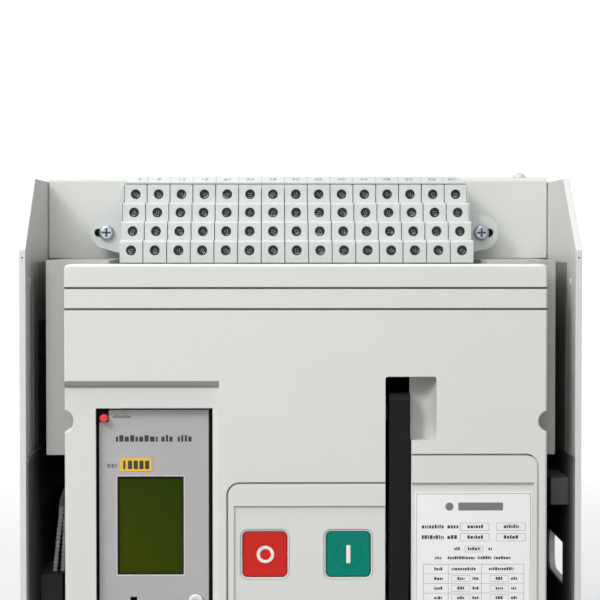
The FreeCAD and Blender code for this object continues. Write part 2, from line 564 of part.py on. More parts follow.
# ------------------------------------------------------------------ mechanism
# two frame plates, then the handle pin with its bracket
frames = []
for x in (-39.5, 71.0):
    frames.append(cut(box(x, x + 3, -142, -41, 56, 232), box(x - 1, x + 4, -80, -30, 176, 240),
                      cyl_x(CAM_Y, CAM_Z, CAM_R + 0.05, x - 1, x + 4),
                      cyl_x(SHAFT_Y, SHAFT_Z, SHAFT_R + 0.06, x - 1, x + 4)))
frames.append(fuse(cyl_x(HANDLE_Y, HANDLE_Z, HANDLE_PIN_R, 42.6, 60.0),
                   box(55.2, 70.9, -165, -135, 77, 91)))
save("mechanism_frame", *frames)

# cam shaft with two lobes and a round disc
cam = cyl_x(CAM_Y, CAM_Z, CAM_R, -44, 78)
for x in (-20.0, 24.0):
    cam = cam.fuse(fuse(cyl_x(CAM_Y, CAM_Z, 15, x, x + 8),
                        cyl_x(CAM_Y + 7, CAM_Z, 12, x, x + 8)))
save("cam_shaft", cam.fuse(cyl_x(CAM_Y, CAM_Z, 19, 58, 63)).removeSplitter())

COIL_R, COIL_PITCH, COIL_HEIGHT, WIRE_R = 8.0, 8.0, 48.0, 1.5
springs = []
for x in (-6.0, 18.0):
    helix = Part.makeHelix(COIL_PITCH, COIL_HEIGHT, COIL_R)
    section = Part.Wire([Part.makeCircle(WIRE_R, Vector(COIL_R, 0, 0), Vector(0, 1, 0.16))])
    spring = Part.Wire(helix.Edges).makePipeShell([section], True, True)
    spring.translate(Vector(x, -74.0, 64.0))
    springs.append(spring)
save("closing_springs", *springs)

save("charging_motor", fuse(cyl_x(-118, 92, 18, -34, 20), cyl_x(-118, 92, 8, 19, 24),
                            box(22, 40, -139, -97, 72, 114)))
save("release_coils", *[fuse(box(x, x + 22, -136, -92, 190, 226),
                             cyl_z(x + 11, -114, 4, 180, 191)) for x in (-31.0, -5.0, 21.0)])
save("auxiliary_switch", cut(box(78, 108, -142, -92, 60, 120),
                             *[box(82, 104, -143, -138, z, z + 6) for z in (66, 80, 94, 108)]))

# ----------------------------------------------------------- trip unit and keys
trip = box(-102.4, -44.5, -163.7, -65.0, 87.0, 231.6)
trip = trip.cut(cyl_y(RESET_X, RESET_Z, 2.3, -165, -150))
for _, x, z in KEYS:
    trip = trip.cut(cyl_y(x, z, 4.4, -165, -161))
save("trip_unit_housing", trip.cut(box(-86.0, -82.3, -165, -155, 127.4, 137.0)))

# fascia: reset corner, display opening, small port, key holes
fascia = cut(box(-101.3, -45.9, -166.0, -163.8, 88.0, 231.4),
             box(-103, -96.5, -170, -160, 224.8, 233),
             box(-92.3, -59.0, -170, -160, 147.9, 197.4),
             box(-85.8, -82.5, -170, -160, 127.8, 136.7))
for _, x, z in KEYS:
    fascia = fascia.cut(cyl_y(x, z, 4.0, -170, -160))
save("trip_unit_fascia", fascia)
save("display_window", box(-92.2, -59.1, -165.2, -163.8, 148.0, 197.3))
for name, x, z in KEYS:
    save(name, round_front(cyl_y(x, z, 3.8, -167.2, -164.0), -167.1, 0.8))
save("reset_button", round_front(cyl_y(RESET_X, RESET_Z, 2.1, -171.0, -156.0), -170.9, 0.7))

# --------------------------------------------- push buttons, indicators, lock
save("button_bezels", *[pad(x, BUTTON_Z, 12.15, 12.45, -173.2, -169.5, 3.45).cut(
    pad(x, BUTTON_Z, 11.3, 11.6, -176, -168, 2.8)) for x in BUTTON_XS])
for name, x in zip(("off_button", "on_button"), BUTTON_XS):
    cap = round_front(pad(x, BUTTON_Z, 11.1, 11.3, -172.7, -167.0, 2.6), -172.6, 0.8)
    save(name, fuse(cap, cyl_y(x, BUTTON_Z, 4.0, -167.5, -157.0)))

# indicator windows with the flags behind them
save("indicator_windows", *[pad(x, INDICATOR_Z, 11.0, 6.0, -173.2, -171.6, 0.9)
                            for x in BUTTON_XS])
for name, x in zip(("spring_flag", "contact_flag"), BUTTON_XS):
    save(name, box(x - 12, x + 12, -168.6, -167.6, 98.6, 124.8))

lock = round_front(cyl_y(LOCK_X, LOCK_Z, 8.0, -174.6, -160.0), -174.5, 0.8)
save("lock_barrel", lock.cut(box(LOCK_X - 0.7, LOCK_X + 0.7, -176, -169,
                                 LOCK_Z - 4.5, LOCK_Z + 4.5)))
save("rating_plate", rounded_box(56.7, 115.2, -174.0, -173.45, 92.0, 190.1, 0.6))

# charging handle: lever with a hub at its foot and a tapered right flank
HANDLE_X = (43.75, 54.4)
handle = prism_x([(-173.4, 86.0), (-173.4, 236.5), (-171.5, 239.2), (-168.5, 239.75),
                  (-161.0, 238.0), (-158.2, 228.0), (-156.5, 90.0)], *HANDLE_X)
handle = handle.makeFillet(0.9, [e for e in handle.Edges if e.BoundBox.YMax < -173.3
                                 and e.BoundBox.ZLength > 100])
handle = fuse(handle, cyl_x(HANDLE_Y, HANDLE_Z, 9.0, *HANDLE_X))
handle = cut(handle, cyl_x(HANDLE_Y, HANDLE_Z, HANDLE_PIN_R + 0.06, 40, 60),
             prism_y([(54.45, 156.0), (56.0, 156.0), (56.0, 70.0), (52.4, 70.0),
                      (52.4, 108.0)], -176.0, -150.0))
save("charging_handle", handle)

# side lugs over the rails, then the pinned blocks under the breaker
lugs = []
for side, near in ((1, 118.1), (-1, 116.1)):
    for start, y in ((near, -132), (122.1, 30)):
        lug = box(*span(side, start, 133.0), y, y + 20, 58.1, 66)
        lugs.append(rounded(lug, "x", 2.0))
for side in (-1, 1):
    lugs.append(fuse(box(*span(side, 84.0, 94.0), -9, 9, 33, BOTTOM_Z - GAP),
                     cyl_x(0, LINK_Z, LINK_R, *span(side, 93.0, 102.0))))
save("side_lugs", *lugs)
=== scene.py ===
"""A draw-out circuit breaker in its cradle, standing upright on the floor.

It faces -Y, +X is to its right seen from the front and +Z is up. Scene and material
lengths are metres; the geometry functions take millimetres. The bodies come from the CAD
pieces; this script adds materials, printed marks, small parts, the stage and the lights.
Printed text is drawn as rows of short bars, apart from the terminal numbers.
"""
import bpy, bmesh, json, random
from math import atan2, cos, pi, radians, sin
from mathutils import Vector, Matrix


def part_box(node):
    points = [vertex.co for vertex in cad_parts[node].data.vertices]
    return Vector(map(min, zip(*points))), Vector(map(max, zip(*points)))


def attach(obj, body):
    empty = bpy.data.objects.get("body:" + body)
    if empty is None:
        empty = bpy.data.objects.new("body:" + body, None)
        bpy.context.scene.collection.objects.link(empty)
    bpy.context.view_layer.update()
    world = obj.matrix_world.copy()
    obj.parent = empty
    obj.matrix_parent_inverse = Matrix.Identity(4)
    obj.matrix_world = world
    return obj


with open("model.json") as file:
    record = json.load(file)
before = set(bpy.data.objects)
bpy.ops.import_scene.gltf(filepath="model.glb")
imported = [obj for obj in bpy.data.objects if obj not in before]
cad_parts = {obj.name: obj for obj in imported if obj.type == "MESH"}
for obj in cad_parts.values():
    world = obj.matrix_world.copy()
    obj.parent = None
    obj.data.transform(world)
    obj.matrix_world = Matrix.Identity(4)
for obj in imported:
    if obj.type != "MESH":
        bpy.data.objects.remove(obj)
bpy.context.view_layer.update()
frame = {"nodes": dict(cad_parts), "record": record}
pieces = frame["nodes"]
scene = bpy.context.scene
MM = 0.001
WHITE = (1.0, 1.0, 1.0)
SPREAD = (0.3, 0.7)  # the range that most noise values fall in


# --------------------------------------------------------------- material kit
def feed(tree, socket, value):
    """A number or tuple sets the socket, an output is linked to it, None leaves it alone."""
    if isinstance(value, (int, float)):
        socket.default_value = value
    elif isinstance(value, tuple):
        socket.default_value = value if socket.type == "VECTOR" else (*value, 1.0)
    elif value is not None:
        tree.links.new(value, socket)


def add_node(tree, kind, inputs=None, **settings):
    node = tree.nodes.new(kind)
    for name, value in settings.items():
        setattr(node, name, value)
    for key, value in (inputs or {}).items():
        feed(tree, node.inputs[key], value)
    return node


class Net:
    """A Principled material with short ways to add nodes; lengths are metres."""
    INPUTS = {"color": "Base Color", "rough": "Roughness", "metal": "Metallic",
              "normal": "Normal", "coat": "Coat Weight", "coat_rough": "Coat Roughness",
              "spec": "Specular IOR Level", "trans": "Transmission Weight", "ior": "IOR"}

    def __init__(self, name):
        self.material = bpy.data.materials.new(name)
        self.material.use_nodes = True
        self.tree = self.material.node_tree
        self.tree.nodes.clear()
        self.surface = self.node("ShaderNodeOutputMaterial").inputs[0]
        self.shader = self.node("ShaderNodeBsdfPrincipled")
        feed(self.tree, self.surface, self.shader.outputs[0])
        self.place = self.node("ShaderNodeTexCoord").outputs["Object"]

    def node(self, kind, inputs=None, **settings):
        return add_node(self.tree, kind, inputs, **settings)

    def noise(self, scale, detail=3.0, rough=0.5, vector=None, twist=0.0):
        return self.node("ShaderNodeTexNoise", {
            "Scale": scale, "Detail": detail, "Roughness": rough, "Distortion": twist,
            "Vector": vector or self.place}).outputs["Fac"]

    def wave(self, scale, axis):
        return self.node("ShaderNodeTexWave", {"Scale": scale, "Vector": self.place},
                         bands_direction=axis).outputs["Fac"]

    def remap(self, value, span, to=(0.0, 1.0)):
        return self.node("ShaderNodeMapRange", {
            0: value, 1: span[0], 2: span[1], 3: to[0], 4: to[1]}).outputs[0]

    def patches(self, scale, detail=3.0, rough=0.5, span=SPREAD, to=(0.0, 1.0)):
        """Noise whose values within span are stretched over `to`."""
        return self.remap(self.noise(scale, detail, rough), span, to)

    def calc(self, operation, first, second=0.0):
        return self.node("ShaderNodeMath", {0: first, 1: second}, operation=operation).outputs[0]

    def mul(self, first, second):
        return self.calc("MULTIPLY", first, second)

    def add(self, first, second):
        return self.calc("ADD", first, second)

    def blend(self, color, toward, where, amount=None, mode="MIX"):
        """Color goes toward the second color where the mask is 1, by at most amount."""
        if amount is not None:
            where = self.mul(where, amount)
        return self.node("ShaderNodeMix", {0: where, 6: color, 7: toward},
                         data_type="RGBA", blend_type=mode).outputs[2]

    def brighten(self, color, factor):
        return self.node("ShaderNodeHueSaturation", {"Color": color, "Value": factor}).outputs[0]

    def split(self, vector=None):
        return self.node("ShaderNodeSeparateXYZ", {0: vector or self.place}).outputs

    def edge(self, radius):
        """Softened normal, and a 0..1 mask along convex and concave edges."""
        soft = self.node("ShaderNodeBevel", {"Radius": radius}, samples=4).outputs[0]
        flat = self.node("ShaderNodeNewGeometry").outputs["Normal"]
        dot = self.node("ShaderNodeVectorMath", {0: soft, 1: flat}, operation="DOT_PRODUCT")
        turn = self.calc("SUBTRACT", 1.0, dot.outputs["Value"])
        return soft, self.remap(turn, span=(0.01, 0.2))

    def bump(self, height, strength, distance, normal=None):
        return self.node("ShaderNodeBump", {
            "Strength": strength, "Distance": distance, "Height": height,
            "Normal": normal}).outputs[0]

    def region(self, low, high, soft):
        """1 inside the box low..high (None = open), 0 outside, blurred by soft."""
        axes = self.split()
        inside = None
        for axis in range(3):
            for limit, to in ((low[axis], (0.0, 1.0)), (high[axis], (1.0, 0.0))):
                if limit is None:
                    continue
                side = self.remap(axes[axis], (limit - soft, limit + soft), to)
                inside = side if inside is None else self.mul(inside, side)
        return inside

    def finish(self, **values):
        for name, value in values.items():
            feed(self.tree, self.shader.inputs[self.INPUTS[name]], value)
        return self.material


def scaled(color, factor):
    return tuple(max(0.0, min(1.0, channel * factor)) for channel in color)


# ------------------------------------------------------------ material recipes
def plastic(name, color, rough=0.45, vary=0.03, grain=0.12, grain_scale=2600,
            edge_radius=0.0005, wear=0.25, worn=1.12, speck=0.0, spec=0.5, mottle=55, shade_zones=()):
    """Moulded plastic: slow mottling, fine grain, slightly polished edges.

    vary, worn and the shade_zones' third column are brightness changes, each box of
    shade_zones painting shade; wear, speck and grain are strengths; mottle and
    grain_scale are noise scales.
    """
    net = Net(name)
    normal, edges = net.edge(edge_radius)
    medium = net.noise(scale=mottle, detail=4, rough=0.55)
    broad = net.noise(scale=9.0, detail=2)
    tone = net.add(net.mul(medium, 0.6), net.mul(broad, 0.4))  # weights of the two noises
    tint = net.blend(scaled(color, 1 - vary), scaled(color, 1 + vary), net.remap(tone, SPREAD))
    if speck > 0:
        specks = net.patches(scale=grain_scale * 0.6, detail=2, rough=0.6, span=(0.56, 0.72))
        tint = net.blend(tint, scaled(color, 0.72), specks, amount=speck)
    # painted shade: each box darkens the colour by its factor where shade falls in grooves and
    # recesses
    for low, high, factor in shade_zones:
        tint = net.blend(tint, scaled(color, factor), net.region(low, high, soft=0.00008))
    broken = net.patches(scale=320, rough=0.6, span=(0.35, 0.65))
    tint = net.blend(tint, scaled(color, worn), net.mul(edges, broken), amount=wear)
    fine = net.noise(scale=grain_scale, rough=0.6)
    coarse = net.noise(scale=grain_scale * 0.18, detail=2)
    height = net.add(fine, net.mul(coarse, 0.7))  # the coarse grain is 0.7 as high
    sheen = net.patches(scale=130, rough=0.55, to=(rough - 0.08, rough + 0.08))
    return net.finish(color=tint, spec=spec,
                      rough=net.add(sheen, net.mul(edges, -0.06)),  # edges are smoother
                      normal=net.bump(height, strength=grain, distance=0.00012, normal=normal))


def ink(name, color, vary=0.12):
    return plastic(name, color, rough=0.5, vary=vary, grain=0.05, wear=0.0)


def powder(name, edge_radius, speck, wear, rough, coat, front_face_highlight=None):
    """Powder coat on sheet steel: orange-peel surface and worn edges.

    speck and wear are (strength, brightness); front_face_highlight is a painted highlight, the
    colour given to the faces that look forward.
    """
    color = (0.69, 0.70, 0.675)
    net = Net(name)
    normal, edges = net.edge(edge_radius)
    tint = net.blend(scaled(color, 0.965), scaled(color, 1.03), net.patches(scale=14))
    # painted highlight: faces turned towards the front are lightened
    if front_face_highlight:
        facing = net.split(net.node("ShaderNodeNewGeometry").outputs["Normal"])
        forward = net.remap(net.mul(facing[1], -1.0), span=(0.45, 0.8))
        tint = net.blend(tint, front_face_highlight, forward)
    specks = net.patches(scale=1500, detail=2, span=(0.58, 0.75))
    tint = net.blend(tint, scaled(color, speck[1]), specks, amount=speck[0])
    broken = net.patches(scale=420, detail=4, rough=0.65, span=(0.50, 0.72))
    tint = net.blend(tint, scaled(color, wear[1]), net.mul(edges, broken), amount=wear[0])
    broad, fine = net.noise(scale=620), net.noise(scale=2400, detail=2)
    peel = net.add(broad, net.mul(fine, 0.35))  # the fine peel is 0.35 as high
    return net.finish(color=tint, rough=net.patches(scale=90, to=rough),
                      normal=net.bump(peel, strength=0.16, distance=0.00018, normal=normal),
                      coat=coat, coat_rough=0.25)


def side_plate():
    """A painted highlight makes the coat brighter on the faces that look forward, the front
    edges among them.
    """
    return powder("powder_coated_side_plate", edge_radius=0.0005, speck=(0.16, 0.86),
                  wear=(0.35, 0.76), rough=(0.38, 0.50), coat=0.06,
                  front_face_highlight=(0.755, 0.77, 0.75))


def plated(name, color, rough, blue=0.0, brushed=(8, 8, 8), wear=0.35, metal=1.0):
    """Plated or bare metal; brushed stretches the rolling marks along its smallest axis."""
    net = Net(name)
    normal, edges = net.edge(0.0003)
    cloud = net.noise(scale=60, detail=4, rough=0.6, twist=0.6)
    tint = net.blend(scaled(color, 0.86), scaled(color, 1.08), net.remap(cloud, SPREAD))
    if blue > 0:
        stains = net.patches(scale=210, rough=0.6, span=(0.4, 0.7))
        tint = net.blend(tint, (0.42, 0.60, 0.80), stains, amount=blue)
    stretched = net.node("ShaderNodeMapping", {"Vector": net.place, "Scale": brushed}).outputs[0]
    marks = net.noise(scale=120, detail=4, rough=0.6, vector=stretched)
    tint = net.blend(tint, scaled(color, 1.25), edges, amount=wear)
    sheen = net.remap(cloud, SPREAD, to=(rough - 0.07, rough + 0.1))
    return net.finish(color=tint, metal=metal,
                      rough=net.add(sheen, net.mul(marks, 0.08)),  # marks are rougher
                      normal=net.bump(marks, strength=0.10, distance=0.00008, normal=normal))


def fascia_film():
    base = (0.515, 0.498, 0.511)
    net = Net("fascia_metallic_film")
    normal, edges = net.edge(0.0003)
    cells = net.node("ShaderNodeTexVoronoi", {"Scale": 3600, "Vector": net.place})
    spark = net.remap(cells.outputs["Distance"], span=(0.0, 0.5))
    tint = net.blend(scaled(base, 0.96), scaled(base, 1.05), net.patches(scale=20))
    tint = net.blend(tint, (0.62, 0.61, 0.63), spark, amount=0.10)
    tint = net.blend(tint, scaled(base, 1.25), edges, amount=0.3)
    height = net.noise(scale=2600, detail=2)
    return net.finish(color=tint, metal=0.28, rough=net.patches(scale=180, to=(0.38, 0.50)),
                      normal=net.bump(height, strength=0.08, distance=0.0001, normal=normal))


def display_olive():
    """Yellower at the lower left, darker at the upper right, with a fine cell grid."""
    net = Net("display_olive")
    axes = net.split()
    across = net.remap(axes[0], span=(-0.0922, -0.0591))
    upward = net.remap(axes[2], span=(0.148, 0.1973))
    ramp = net.add(net.mul(across, 0.55), net.mul(upward, 0.45))  # weights of x and z
    cloud = net.calc("SUBTRACT", net.noise(scale=45, detail=2), 0.5)  # centred on 0
    ramp = net.add(ramp, net.mul(cloud, 0.5))  # at half strength
    tint = net.blend((0.046, 0.062, 0.0025), (0.025, 0.048, 0.0022),
                     net.remap(ramp, span=(0.05, 0.95)))
    cells = net.mul(net.wave(scale=520, axis="X"), net.wave(scale=520, axis="Z"))
    tint = net.blend(tint, (0.012, 0.02, 0.003), cells, amount=0.10)
    height = net.noise(scale=700, detail=2)
    return net.finish(color=tint, rough=net.patches(scale=300, rough=0.6, to=(0.12, 0.20)),
                      spec=0.06, normal=net.bump(height, strength=0.02, distance=0.0001))


def clear_lens():
    net = Net("clear_polycarbonate")
    normal, edges = net.edge(0.0002)
    tint = net.blend((0.93, 0.95, 0.95), (0.75, 0.80, 0.80), edges, amount=0.5)
    height = net.noise(scale=900, detail=2)
    return net.finish(color=tint, rough=net.patches(scale=260, to=(0.04, 0.12)),
                      trans=0.92, ior=1.45,
                      normal=net.bump(height, strength=0.02, distance=0.00005, normal=normal))


def label_film():
    base = (0.975, 0.99, 1.0)
    net = Net("label_white_film")
    tint = net.blend(scaled(base, 0.985), scaled(base, 1.02), net.patches(scale=24))
    specks = net.patches(scale=2200, detail=2, span=(0.55, 0.75))
    tint = net.blend(tint, scaled(base, 0.8), specks, amount=0.05)
    return net.finish(color=tint, rough=net.patches(scale=150, to=(0.30, 0.40)),
                      normal=net.bump(net.noise(scale=1500), strength=0.05, distance=0.0001))


def lining(name, side, lit_back, top_bottom):
    """Dark side lining with painted light and shade: the change from black at the back to a
    paler strip in front, over a soft edge, is painted light and shade in the gap; a lighter
    tone above.

    side is -1 on the left and 1 on the right; lit_back is the y where the lower lit strip
    ends and top_bottom the z where the upper tone starts.
    """
    inner_x, lit_top = 0.1369, 0.2070
    black, lit_tone, top = (0.085, 0.087, 0.083), (0.23, 0.24, 0.225), (0.26, 0.27, 0.255)
    x_low, x_high = (inner_x, None) if side > 0 else (None, -inner_x)
    net = Net(name)
    normal, edges = net.edge(0.0005)
    tone = net.patches(scale=42, to=(0.90, 1.10))
    # painted light on the front strip, painted shade behind it
    front = net.region((x_low, None, None), (x_high, lit_back, lit_top), soft=0.011)
    tint = net.blend(black, lit_tone, front)
    upper = net.region((x_low, None, top_bottom), (x_high, None, None), soft=0.0004)
    tint = net.blend(tint, top, upper)
    # painted light: on the left the front part above the lower strip is lightened nearly to the
    # painted sheet's colour
    if side < 0:
        lit_strip = net.region((None, None, lit_top), (x_high, -0.114, None), soft=0.004)
        tint = net.blend(tint, (0.60, 0.61, 0.59), lit_strip)
    broken = net.patches(scale=300, rough=0.6, span=(0.3, 0.6))
    tint = net.blend(tint, (0.17, 0.17, 0.17), net.mul(edges, broken), amount=0.7)
    height = net.noise(scale=1500, rough=0.6)
    return net.finish(color=net.brighten(tint, tone), spec=0.3,
                      rough=net.patches(scale=170, to=(0.46, 0.60)),
                      normal=net.bump(height, strength=0.16, distance=0.00012, normal=normal))


def fasteners():
    """Blue-passivated steel; rivets in the side plates and heads on top are painted over."""
    net = Net("fastener_plated_and_painted")
    normal, edges = net.edge(0.0003)
    cloud = net.noise(scale=60, detail=4, rough=0.6, twist=0.6)
    tint = net.blend((0.40, 0.45, 0.50), (0.52, 0.58, 0.63), net.remap(cloud, SPREAD))
    tint = net.blend(tint, (0.62, 0.72, 0.80), edges, amount=0.7)
    axes = net.split()
    outboard = net.remap(net.calc("ABSOLUTE", axes[0]), span=(0.1302, 0.1306))
    painted = net.calc("MAXIMUM", outboard, net.remap(axes[2], span=(0.3480, 0.3484)))
    tint = net.blend(tint, (0.60, 0.61, 0.59), painted)
    sheen = net.remap(cloud, SPREAD, to=(0.26, 0.42))
    height = net.noise(scale=700, rough=0.6)
    return net.finish(color=tint,
                      rough=net.add(sheen, net.mul(painted, 0.08)),  # paint is rougher
                      metal=net.remap(painted, span=(0.0, 1.0), to=(1.0, 0.0)),
                      normal=net.bump(height, strength=0.12, distance=0.00008, normal=normal))


def two_tone(name, low, high):
    """One color below the split height and another above it."""
    split_z, blur = 0.1118, 0.0001
    net = Net(name)
    above = net.remap(net.split()[2], span=(split_z - blur, split_z + blur))
    tone = net.patches(scale=160, to=(0.94, 1.05))
    tint = net.blend(low, high, above)
    tint = net.blend(tint, WHITE, 1.0, mode="MULTIPLY")  # neutral at white
    height = net.noise(scale=2400, detail=2)
    return net.finish(color=net.brighten(tint, tone),
                      rough=net.patches(scale=220, detail=2, to=(0.35, 0.47)),
                      normal=net.bump(height, strength=0.08, distance=0.0001))


# --------------------------------------------------------------------- palette
# Painted shade on the cover: darker groove floors, recess step walls and the bevel above the
# trip unit, metres: low corner, high corner, brightness
COVER_SHADE_ZONES = (
    ((None, -0.1747, 0.2915), (None, -0.1730, 0.2929), 0.36),
    ((None, -0.1747, 0.2810), (None, -0.1730, 0.2824), 0.36),
    ((None, -0.17355, 0.0600), (0.0423, -0.1733, 0.2000), 0.40),
    ((0.0549, -0.17355, 0.2080), (0.1190, -0.1733, 0.2100), 0.40),
    ((-0.1400, -0.1752, 0.2424), (-0.0410, -0.1712, 0.2460), 0.66),
)

MAT = {
    "cover_plastic": plastic(
        "cover_moulded_grey", (0.785, 0.797, 0.765), rough=0.47, vary=0.012, grain=0.16,
        grain_scale=2300, wear=0.3, worn=1.10, mottle=16, edge_radius=0.00032,
        shade_zones=COVER_SHADE_ZONES),
    "painted_sheet": powder(
        "powder_coated_sheet", edge_radius=0.0006, speck=(0.18, 0.82), wear=(0.5, 0.72),
        rough=(0.37, 0.49), coat=0.08),
    # the strong edge lightening here is partly wear and partly a painted highlight along the
    # rows' edges
    "terminal_plastic": plastic(
        "terminal_polyamide", (0.62, 0.655, 0.645), rough=0.50, vary=0.02, grain=0.2,
        grain_scale=1900, wear=0.75, worn=1.4, speck=0.05, edge_radius=0.00042),
    "black_plastic": plastic(
        "black_glass_filled", (0.014, 0.0145, 0.014), rough=0.6, spec=0.16, vary=0.18,
        grain=0.3, grain_scale=1700, wear=0.35, worn=3.0),
    "handle_black": plastic(
        "handle_satin_black", (0.0125, 0.0125, 0.013), rough=0.5, spec=0.14, vary=0.12,
        grain=0.22, grain_scale=2100, wear=0.5, worn=3.2),
    "dark_moulding": plastic(
        "thermoset_dark", (0.042, 0.036, 0.032), rough=0.55, vary=0.22, grain=0.4,
        grain_scale=1100, wear=0.4, worn=2.0, speck=0.4),
    "white_plastic": plastic(
        "white_abs", (0.82, 0.83, 0.84), rough=0.35, vary=0.02, grain=0.08, wear=0.2,
        worn=1.05),
    "red_plastic": plastic(
        "red_button", (0.655, 0.022, 0.016), rough=0.36, vary=0.04, grain=0.08, wear=0.35,
        worn=1.5, spec=0.2, mottle=24),
    "green_plastic": plastic(
        "green_button", (0.0, 0.235, 0.168), rough=0.36, vary=0.04, grain=0.08, wear=0.35,
        worn=1.6, spec=0.15, mottle=24),
    "galvanised_sheet": plated(
        "zinc_plated_sheet", (0.60, 0.62, 0.64), rough=0.36, blue=0.05, brushed=(60, 1, 60)),
    "zinc_steel": plated(
        "blue_zinc_fastener", (0.68, 0.73, 0.77), rough=0.24, blue=0.30, wear=0.6),
    "terminal_screw": plated(
        "blackened_zinc_screw", (0.042, 0.048, 0.045), rough=0.40, wear=1.0, metal=0.7),
    # painted highlights: bright marks on the clamp screws
    "glint": plated("screw_painted_glint", (0.50, 0.54, 0.53), rough=0.30, wear=0.4),
    "recess": plated("recess_shadow_steel", (0.10, 0.115, 0.13), rough=0.45, wear=0.2),
    "spring_steel": plated(
        "oiled_spring_steel", (0.30, 0.30, 0.31), rough=0.38, brushed=(1, 30, 30)),
    "brass_bush": plated("turned_brass", (0.70, 0.52, 0.24), rough=0.28, brushed=(20, 1, 20)),
    "copper_bar": plated(
        "tinned_copper", (0.66, 0.64, 0.60), rough=0.33, brushed=(40, 1, 4), wear=0.2),
    "fascia_silver": fascia_film(),
    "display_lens": display_olive(),
    "clear_lens": clear_lens(),
    "label_film": label_film(),
    "ink": ink("print_ink_dark", (0.045, 0.045, 0.05), vary=0.2),
    "ink_mid": ink("print_ink_grey", (0.22, 0.22, 0.23)),
    "ink_faint": ink("print_ink_faint", (0.36, 0.33, 0.31)),
    "ink_rule": ink("print_rule_blue_grey", (0.20, 0.22, 0.27), vary=0.1),
    "yellow": plastic(
        "rating_sticker_yellow", (0.93, 0.585, 0.05), rough=0.38, vary=0.05, grain=0.06,
        wear=0.2, worn=1.1, mottle=120),
    "symbol": plastic(
        "symbol_white", (0.97, 0.935, 0.875), rough=0.42, vary=0.03, grain=0.06, wear=0.1,
        worn=1.05),
    "sleeve": plastic(
        "corrugated_sleeve_grey", (0.92, 0.93, 0.91), rough=0.40, vary=0.06, grain=0.15,
        wear=0.5, worn=1.1),
    # a spare that no piece wears
    "cable": plastic(
        "cable_black_pvc", (0.022, 0.022, 0.024), rough=0.36, vary=0.15, grain=0.12, wear=0.0),
}

slots = {part["node"]: part["material_slot"] for part in frame["record"]["subparts"]}
for name, piece in pieces.items():
    piece.data.materials.clear()
    piece.data.materials.append(MAT[slots[name]])

# Pieces whose look differs from the rest of their slot
OWN_LOOKS = {
    "upper_housing": plastic(
        "housing_moulded_grey", (0.41, 0.418, 0.397), rough=0.5, vary=0.02, grain=0.18,
        grain_scale=2100, wear=0.3, worn=1.15, mottle=16, edge_radius=0.0004),
    "side_guide_left": lining("side_lining_left", -1, lit_back=-0.122, top_bottom=0.2731),
    "side_guide_right": lining("side_lining_right", 1, lit_back=-0.134, top_bottom=0.2070),
    "side_plate_left": side_plate(),
    "side_plate_right": side_plate(),
    "position_switches": plastic(
        "switch_block_black", (0.085, 0.086, 0.082), rough=0.55, spec=0.25, vary=0.15,
        grain=0.25, grain_scale=1700, wear=0.4, worn=2.5),
    "reset_button": plastic(
        "reset_button_red", (0.83, 0.055, 0.045), rough=0.34, vary=0.04, grain=0.08,
        wear=0.35, worn=1.4, spec=0.4, mottle=24),
    "terminal_screws": MAT["terminal_screw"],
    "cradle_fasteners": fasteners(),
    "contact_flag": two_tone(
        "contact_flag_two_tone", low=(0.58, 0.03, 0.025), high=(0.02, 0.26, 0.11)),
    "spring_flag": two_tone(
        "spring_flag_two_tone", low=(0.80, 0.52, 0.04), high=(0.78, 0.79, 0.78)),
}
for name, material in OWN_LOOKS.items():
    pieces[name].data.materials[0] = material


# ------------------------------------------- geometry kit, all lengths in mm
def finish_piece(shape, name, look, body, smooth=True, angle=35):
    """Turn the bmesh into an object of the body; angle (degrees) keeps edges sharp."""
    mesh = bpy.data.meshes.new(name)
    bmesh.ops.recalc_face_normals(shape, faces=shape.faces)
    shape.to_mesh(mesh)
    shape.free()
    piece = bpy.data.objects.new(name, mesh)
    scene.collection.objects.link(piece)
    mesh.materials.append(look)
    if smooth:
        for face in mesh.polygons:
            face.use_smooth = True
        mesh.set_sharp_from_angle(angle=radians(angle))
    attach(piece, body)


def add_box(shape, xs, ys, zs):
    verts = [shape.verts.new((x * MM, y * MM, z * MM)) for x in xs for y in ys for z in zs]
    for corners in ((0, 1, 3, 2), (4, 6, 7, 5), (0, 4, 5, 1),
                    (2, 3, 7, 6), (0, 2, 6, 4), (1, 5, 7, 3)):
        shape.faces.new([verts[i] for i in corners])


def add_prism(shape, outline, ys):
    """An (x, z) outline carried from one y to the other."""
    front, back = [[shape.verts.new((x * MM, y * MM, z * MM)) for x, z in outline] for y in ys]
    shape.faces.new(front)
    shape.faces.new(back[::-1])
    for i in range(len(outline)):
        j = (i + 1) % len(outline)
        shape.faces.new((front[i], back[i], back[j], front[j]))


def add_rounded(shape, xs, ys, zs, radius):
    """A box whose four corners are rounded as seen from the front."""
    (x0, x1), (z0, z1) = xs, zs
    radius = min(radius, (x1 - x0) / 2 - 1e-4, (z1 - z0) / 2 - 1e-4)
    steps = 6
    outline = []
    for x, z, start in ((x1 - radius, z1 - radius, 0), (x0 + radius, z1 - radius, 90),
                        (x0 + radius, z0 + radius, 180), (x1 - radius, z0 + radius, 270)):
        for k in range(steps + 1):
            turn = radians(start + 90 * k / steps)
            outline.append((x + radius * cos(turn), z + radius * sin(turn)))
    add_prism(shape, outline, ys)


def skin(shape, first, second):
    """Join two closed loops of vertices with quads."""
    for k in range(len(first)):
        j = (k + 1) % len(first)
        shape.faces.new((first[k], first[j], second[j], second[k]))


def circle(shape, x, y, z, radius, steps):
    return [shape.verts.new(((x + radius * cos(2 * pi * k / steps)) * MM, y * MM,
                             (z + radius * sin(2 * pi * k / steps)) * MM))
            for k in range(steps)]


def add_ring(shape, x, z, outer, inner, ys, steps=64):
    front, back = ys
    loops = [circle(shape, x, y, z, radius, steps)
             for radius, y in ((outer, back), (outer, front), (inner, front), (inner, back))]
    for i in range(4):
        skin(shape, loops[i], loops[(i + 1) % 4])


